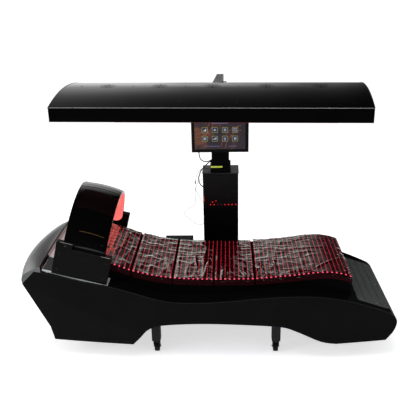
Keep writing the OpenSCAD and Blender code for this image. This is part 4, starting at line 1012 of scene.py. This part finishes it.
bezel = [(x, -37.2, z) for x, z, _ in rectangle(-BEZEL_HALF, BEZEL_HALF, BEZEL_LOW, BEZEL_HIGH, 0)]
add_edges("bezel_edge", bezel, 8, screen_frame, 0.0014, "screen", TRIM)
ribs = [(0, -70 + 12 * k, -0.2, 300, 4, 1.6, 0.6) for k in range(4)]
add_bars("screen_back_ribs", ribs, screen_back, "screen", BLACK)
screws = [(x, z, -0.2, 4, 1.6) for x in (-190, 190) for z in (-115, 122)]
add_discs("screen_back_screws", screws, screen_back, "screen", STEEL)
for name, sign in (("left", -1), ("right", 1)):
    add_discs("tilt_cap_" + name, [(SCREEN_Y, SCREEN_Z, -0.2, 6.5, 3)],
              lambda y, z, h: place(COLUMN_X + sign * (39 + h), y, z), "bed", STEEL, 6)


# Casters: axle nuts, brake levers and wheel discs
WHEEL_Z = 37.5
WHEEL_TRAIL = 22
CASTERS = ((-375, -330), (-375, 330), (441, -330), (441, 330))


def on_both_sides(x, y, out, radius, height, sides):
    """A disc on each side of a caster's wheel, at a distance out from its middle."""
    return joined(discs([(y + WHEEL_TRAIL, WHEEL_Z, -0.3, radius, height)],
                        lambda a, b, h: place(x + sign * (out + h), a, b), sides) for sign in (-1, 1))


for n, (x, y) in enumerate(CASTERS, 1):
    make(f"axle_nuts_{n}", on_both_sides(x, y, 24.6, 6.5, 2.4, 6), f"fork_{n}", STEEL)
    add_bars(f"brake_lever_{n}", [(x, y + 36, 84, 30, 26, 4, 1.2), (x, y + 50, 78, 30, 6, 8, 1.5)], place,
             f"fork_{n}", LEVER)
    make(f"wheel_discs_{n}", on_both_sides(x, y, 12.2, 20, 1.2, 24), f"wheel_{n}", LEVER)


# Control box behind the mattress: a lid and two keys
def box_top(x, y, h):
    return place(-256 + x, 390 + y, 548 + h)


add_bars("box_lid", [(0, 0, -0.3, 200, 70, 2.0, 0.8)], box_top, "bed", BLACK)
add_discs("box_keys", [(x, -12, 1.4, 9, 2.5) for x in (-60, -32)], box_top, "bed", BLACK, 20)


# Stage: floor, backdrop by the world, a card for mirrored light, and soft lamps
def stage_quad(name, corners, material):
    mesh = bpy.data.meshes.new(name)
    mesh.from_pydata(corners, [], [(0, 1, 2, 3)])
    mesh.materials.append(material)
    return new_object(name, mesh)


def add_floor():
    size = 150.0
    s = Shader("floor_white")
    rays = s.add("LightPath").outputs
    mirrored = s.math("MULTIPLY", rays["Is Glossy Ray"], 0.3)
    seen = s.math("MAXIMUM", rays["Is Camera Ray"], mirrored)
    seen = s.math("MAXIMUM", seen, rays["Is Transmission Ray"])
    tone = s.ramp(s.noise(0.8, 3), [(0.3, 0.86), (0.7, 0.88)])
    plain = s.add("BsdfPrincipled", Base_Color=tone, Roughness=0.9, Specular_IOR_Level=0.1)
    lit = s.add("AddShader", plain, s.add("Emission", Color=(1, 1, 1), Strength=0.62))
    floor = stage_quad("floor", [(-size, -size, 0), (size, -size, 0), (size, size, 0), (-size, size, 0)],
                       s.finish(s.add("MixShader", seen, plain, lit)))
    floor.location.z = -0.0005


SKYLINE_UP = ((0.0, 0.5), (0.08, 0.9), (0.2, 0.9), (0.32, 0.0))
SKYLINE_ALONG = ((-0.38, 0.35), (-0.3, 1.0), (-0.05, 0.95), (0.06, 0.6), (0.14, 0.15), (0.22, 0.03))
SKY_ALONG = ((-0.64, 2.2), (-0.6, 1.6), (-0.58, 0.3), (-0.44, 0.25), (-0.34, 0.9), (-0.2, 0.72),
             (-0.15, 0.54), (-0.05, 0.4), (0.04, 0.34), (0.1, 0.22), (0.17, 0.2), (0.23, 0.03))
SKY_UP = ((0.0, 0.7), (0.15, 1.0), (0.3, 1.0), (0.4, 0.75), (0.5, 0.52), (0.6, 0.35), (0.7, 0.2),
          (0.85, 0.03))
SKY_DEPTH = ((-0.6, 0.03), (-0.1, 0.12), (0.3, 1.0))
SKY_LEFT = ((-0.6, 1.0), (-0.4, 0.0))


def add_world():
    """White to the camera, plain light on surfaces, and a graded sky for mirrored rays."""
    s = Shader("studio", world=True)

    def graded(value, stops):
        return s.ramp(s.span(value, 0, 1, -1, 1), [((stop + 1) / 2, grey) for stop, grey in stops])

    rays = s.add("LightPath").outputs
    x, y, z = s.add("SeparateXYZ", s.add("TexCoord").outputs["Generated"]).outputs
    lean = s.math("ADD", z, s.math("MULTIPLY", x, 0.5))
    skyline = s.math("MULTIPLY", graded(z, SKYLINE_UP), graded(x, SKYLINE_ALONG))
    sky = s.math("MAXIMUM", s.math("MULTIPLY", graded(x, SKY_ALONG), graded(lean, SKY_UP)), skyline)
    depth = s.math("MAXIMUM", graded(y, SKY_DEPTH), graded(x, SKY_LEFT))
    plain = s.add("Background", Color=(0.98, 0.99, 1), Strength=0.5)
    mirrored = s.add("Background", Color=(1, 1, 1), Strength=s.math("MULTIPLY", depth, sky))
    white = s.add("Background", Color=(1, 1, 1), Strength=1.0)
    seen = s.math("MAXIMUM", rays["Is Camera Ray"], rays["Is Transmission Ray"])
    bpy.context.scene.world = s.finish(
        s.add("MixShader", seen, s.add("MixShader", rays["Is Glossy Ray"], plain, mirrored), white))


def add_card():
    """Pale screen behind the head end that only mirrored rays meet, fading upwards and footwards."""
    x0, x1, y, z0, z1 = -1.3, -0.2, 1.05, 1.5, 2.6
    s = Shader("card_light")
    parts = s.add("SeparateXYZ", s.add("TexCoord").outputs["Object"]).outputs
    fade = s.math("MULTIPLY", s.span(parts["Z"], 1, 0, 1.75, z1), s.span(parts["X"], 1, 0, -0.6, x1))
    light = s.add("Emission", Strength=s.math("MULTIPLY", fade, 0.5))
    card = stage_quad("rear_card", [(x0, y, z0), (x1, y, z0), (x1, y, z1), (x0, y, z1)],
                      s.finish(s.add("AddShader", light, s.add("BsdfTransparent"))))
    for ray in ("camera", "diffuse", "transmission", "volume_scatter", "shadow"):
        setattr(card, "visible_" + ray, False)


def add_lamp(name, position, target, size, power):
    data = bpy.data.lights.new(name, "AREA")
    data.shape = "RECTANGLE"
    data.size, data.size_y = size
    data.energy = power
    lamp = new_object(name, data)
    lamp.location = position
    lamp.rotation_euler = (Vector(target) - Vector(position)).to_track_quat("-Z", "Y").to_euler()
    lamp.visible_glossy = False


add_floor()
add_world()
add_card()
add_lamp("top_light", (-0.5, -1.2, 4.6), (0, 0, 0.5), (3.2, 2.4), 120)
add_lamp("left_light", (-4.2, -2.6, 2.8), (-0.4, 0, 0.6), (2.0, 2.0), 60)
bpy.context.scene.view_settings.view_transform = "Standard"
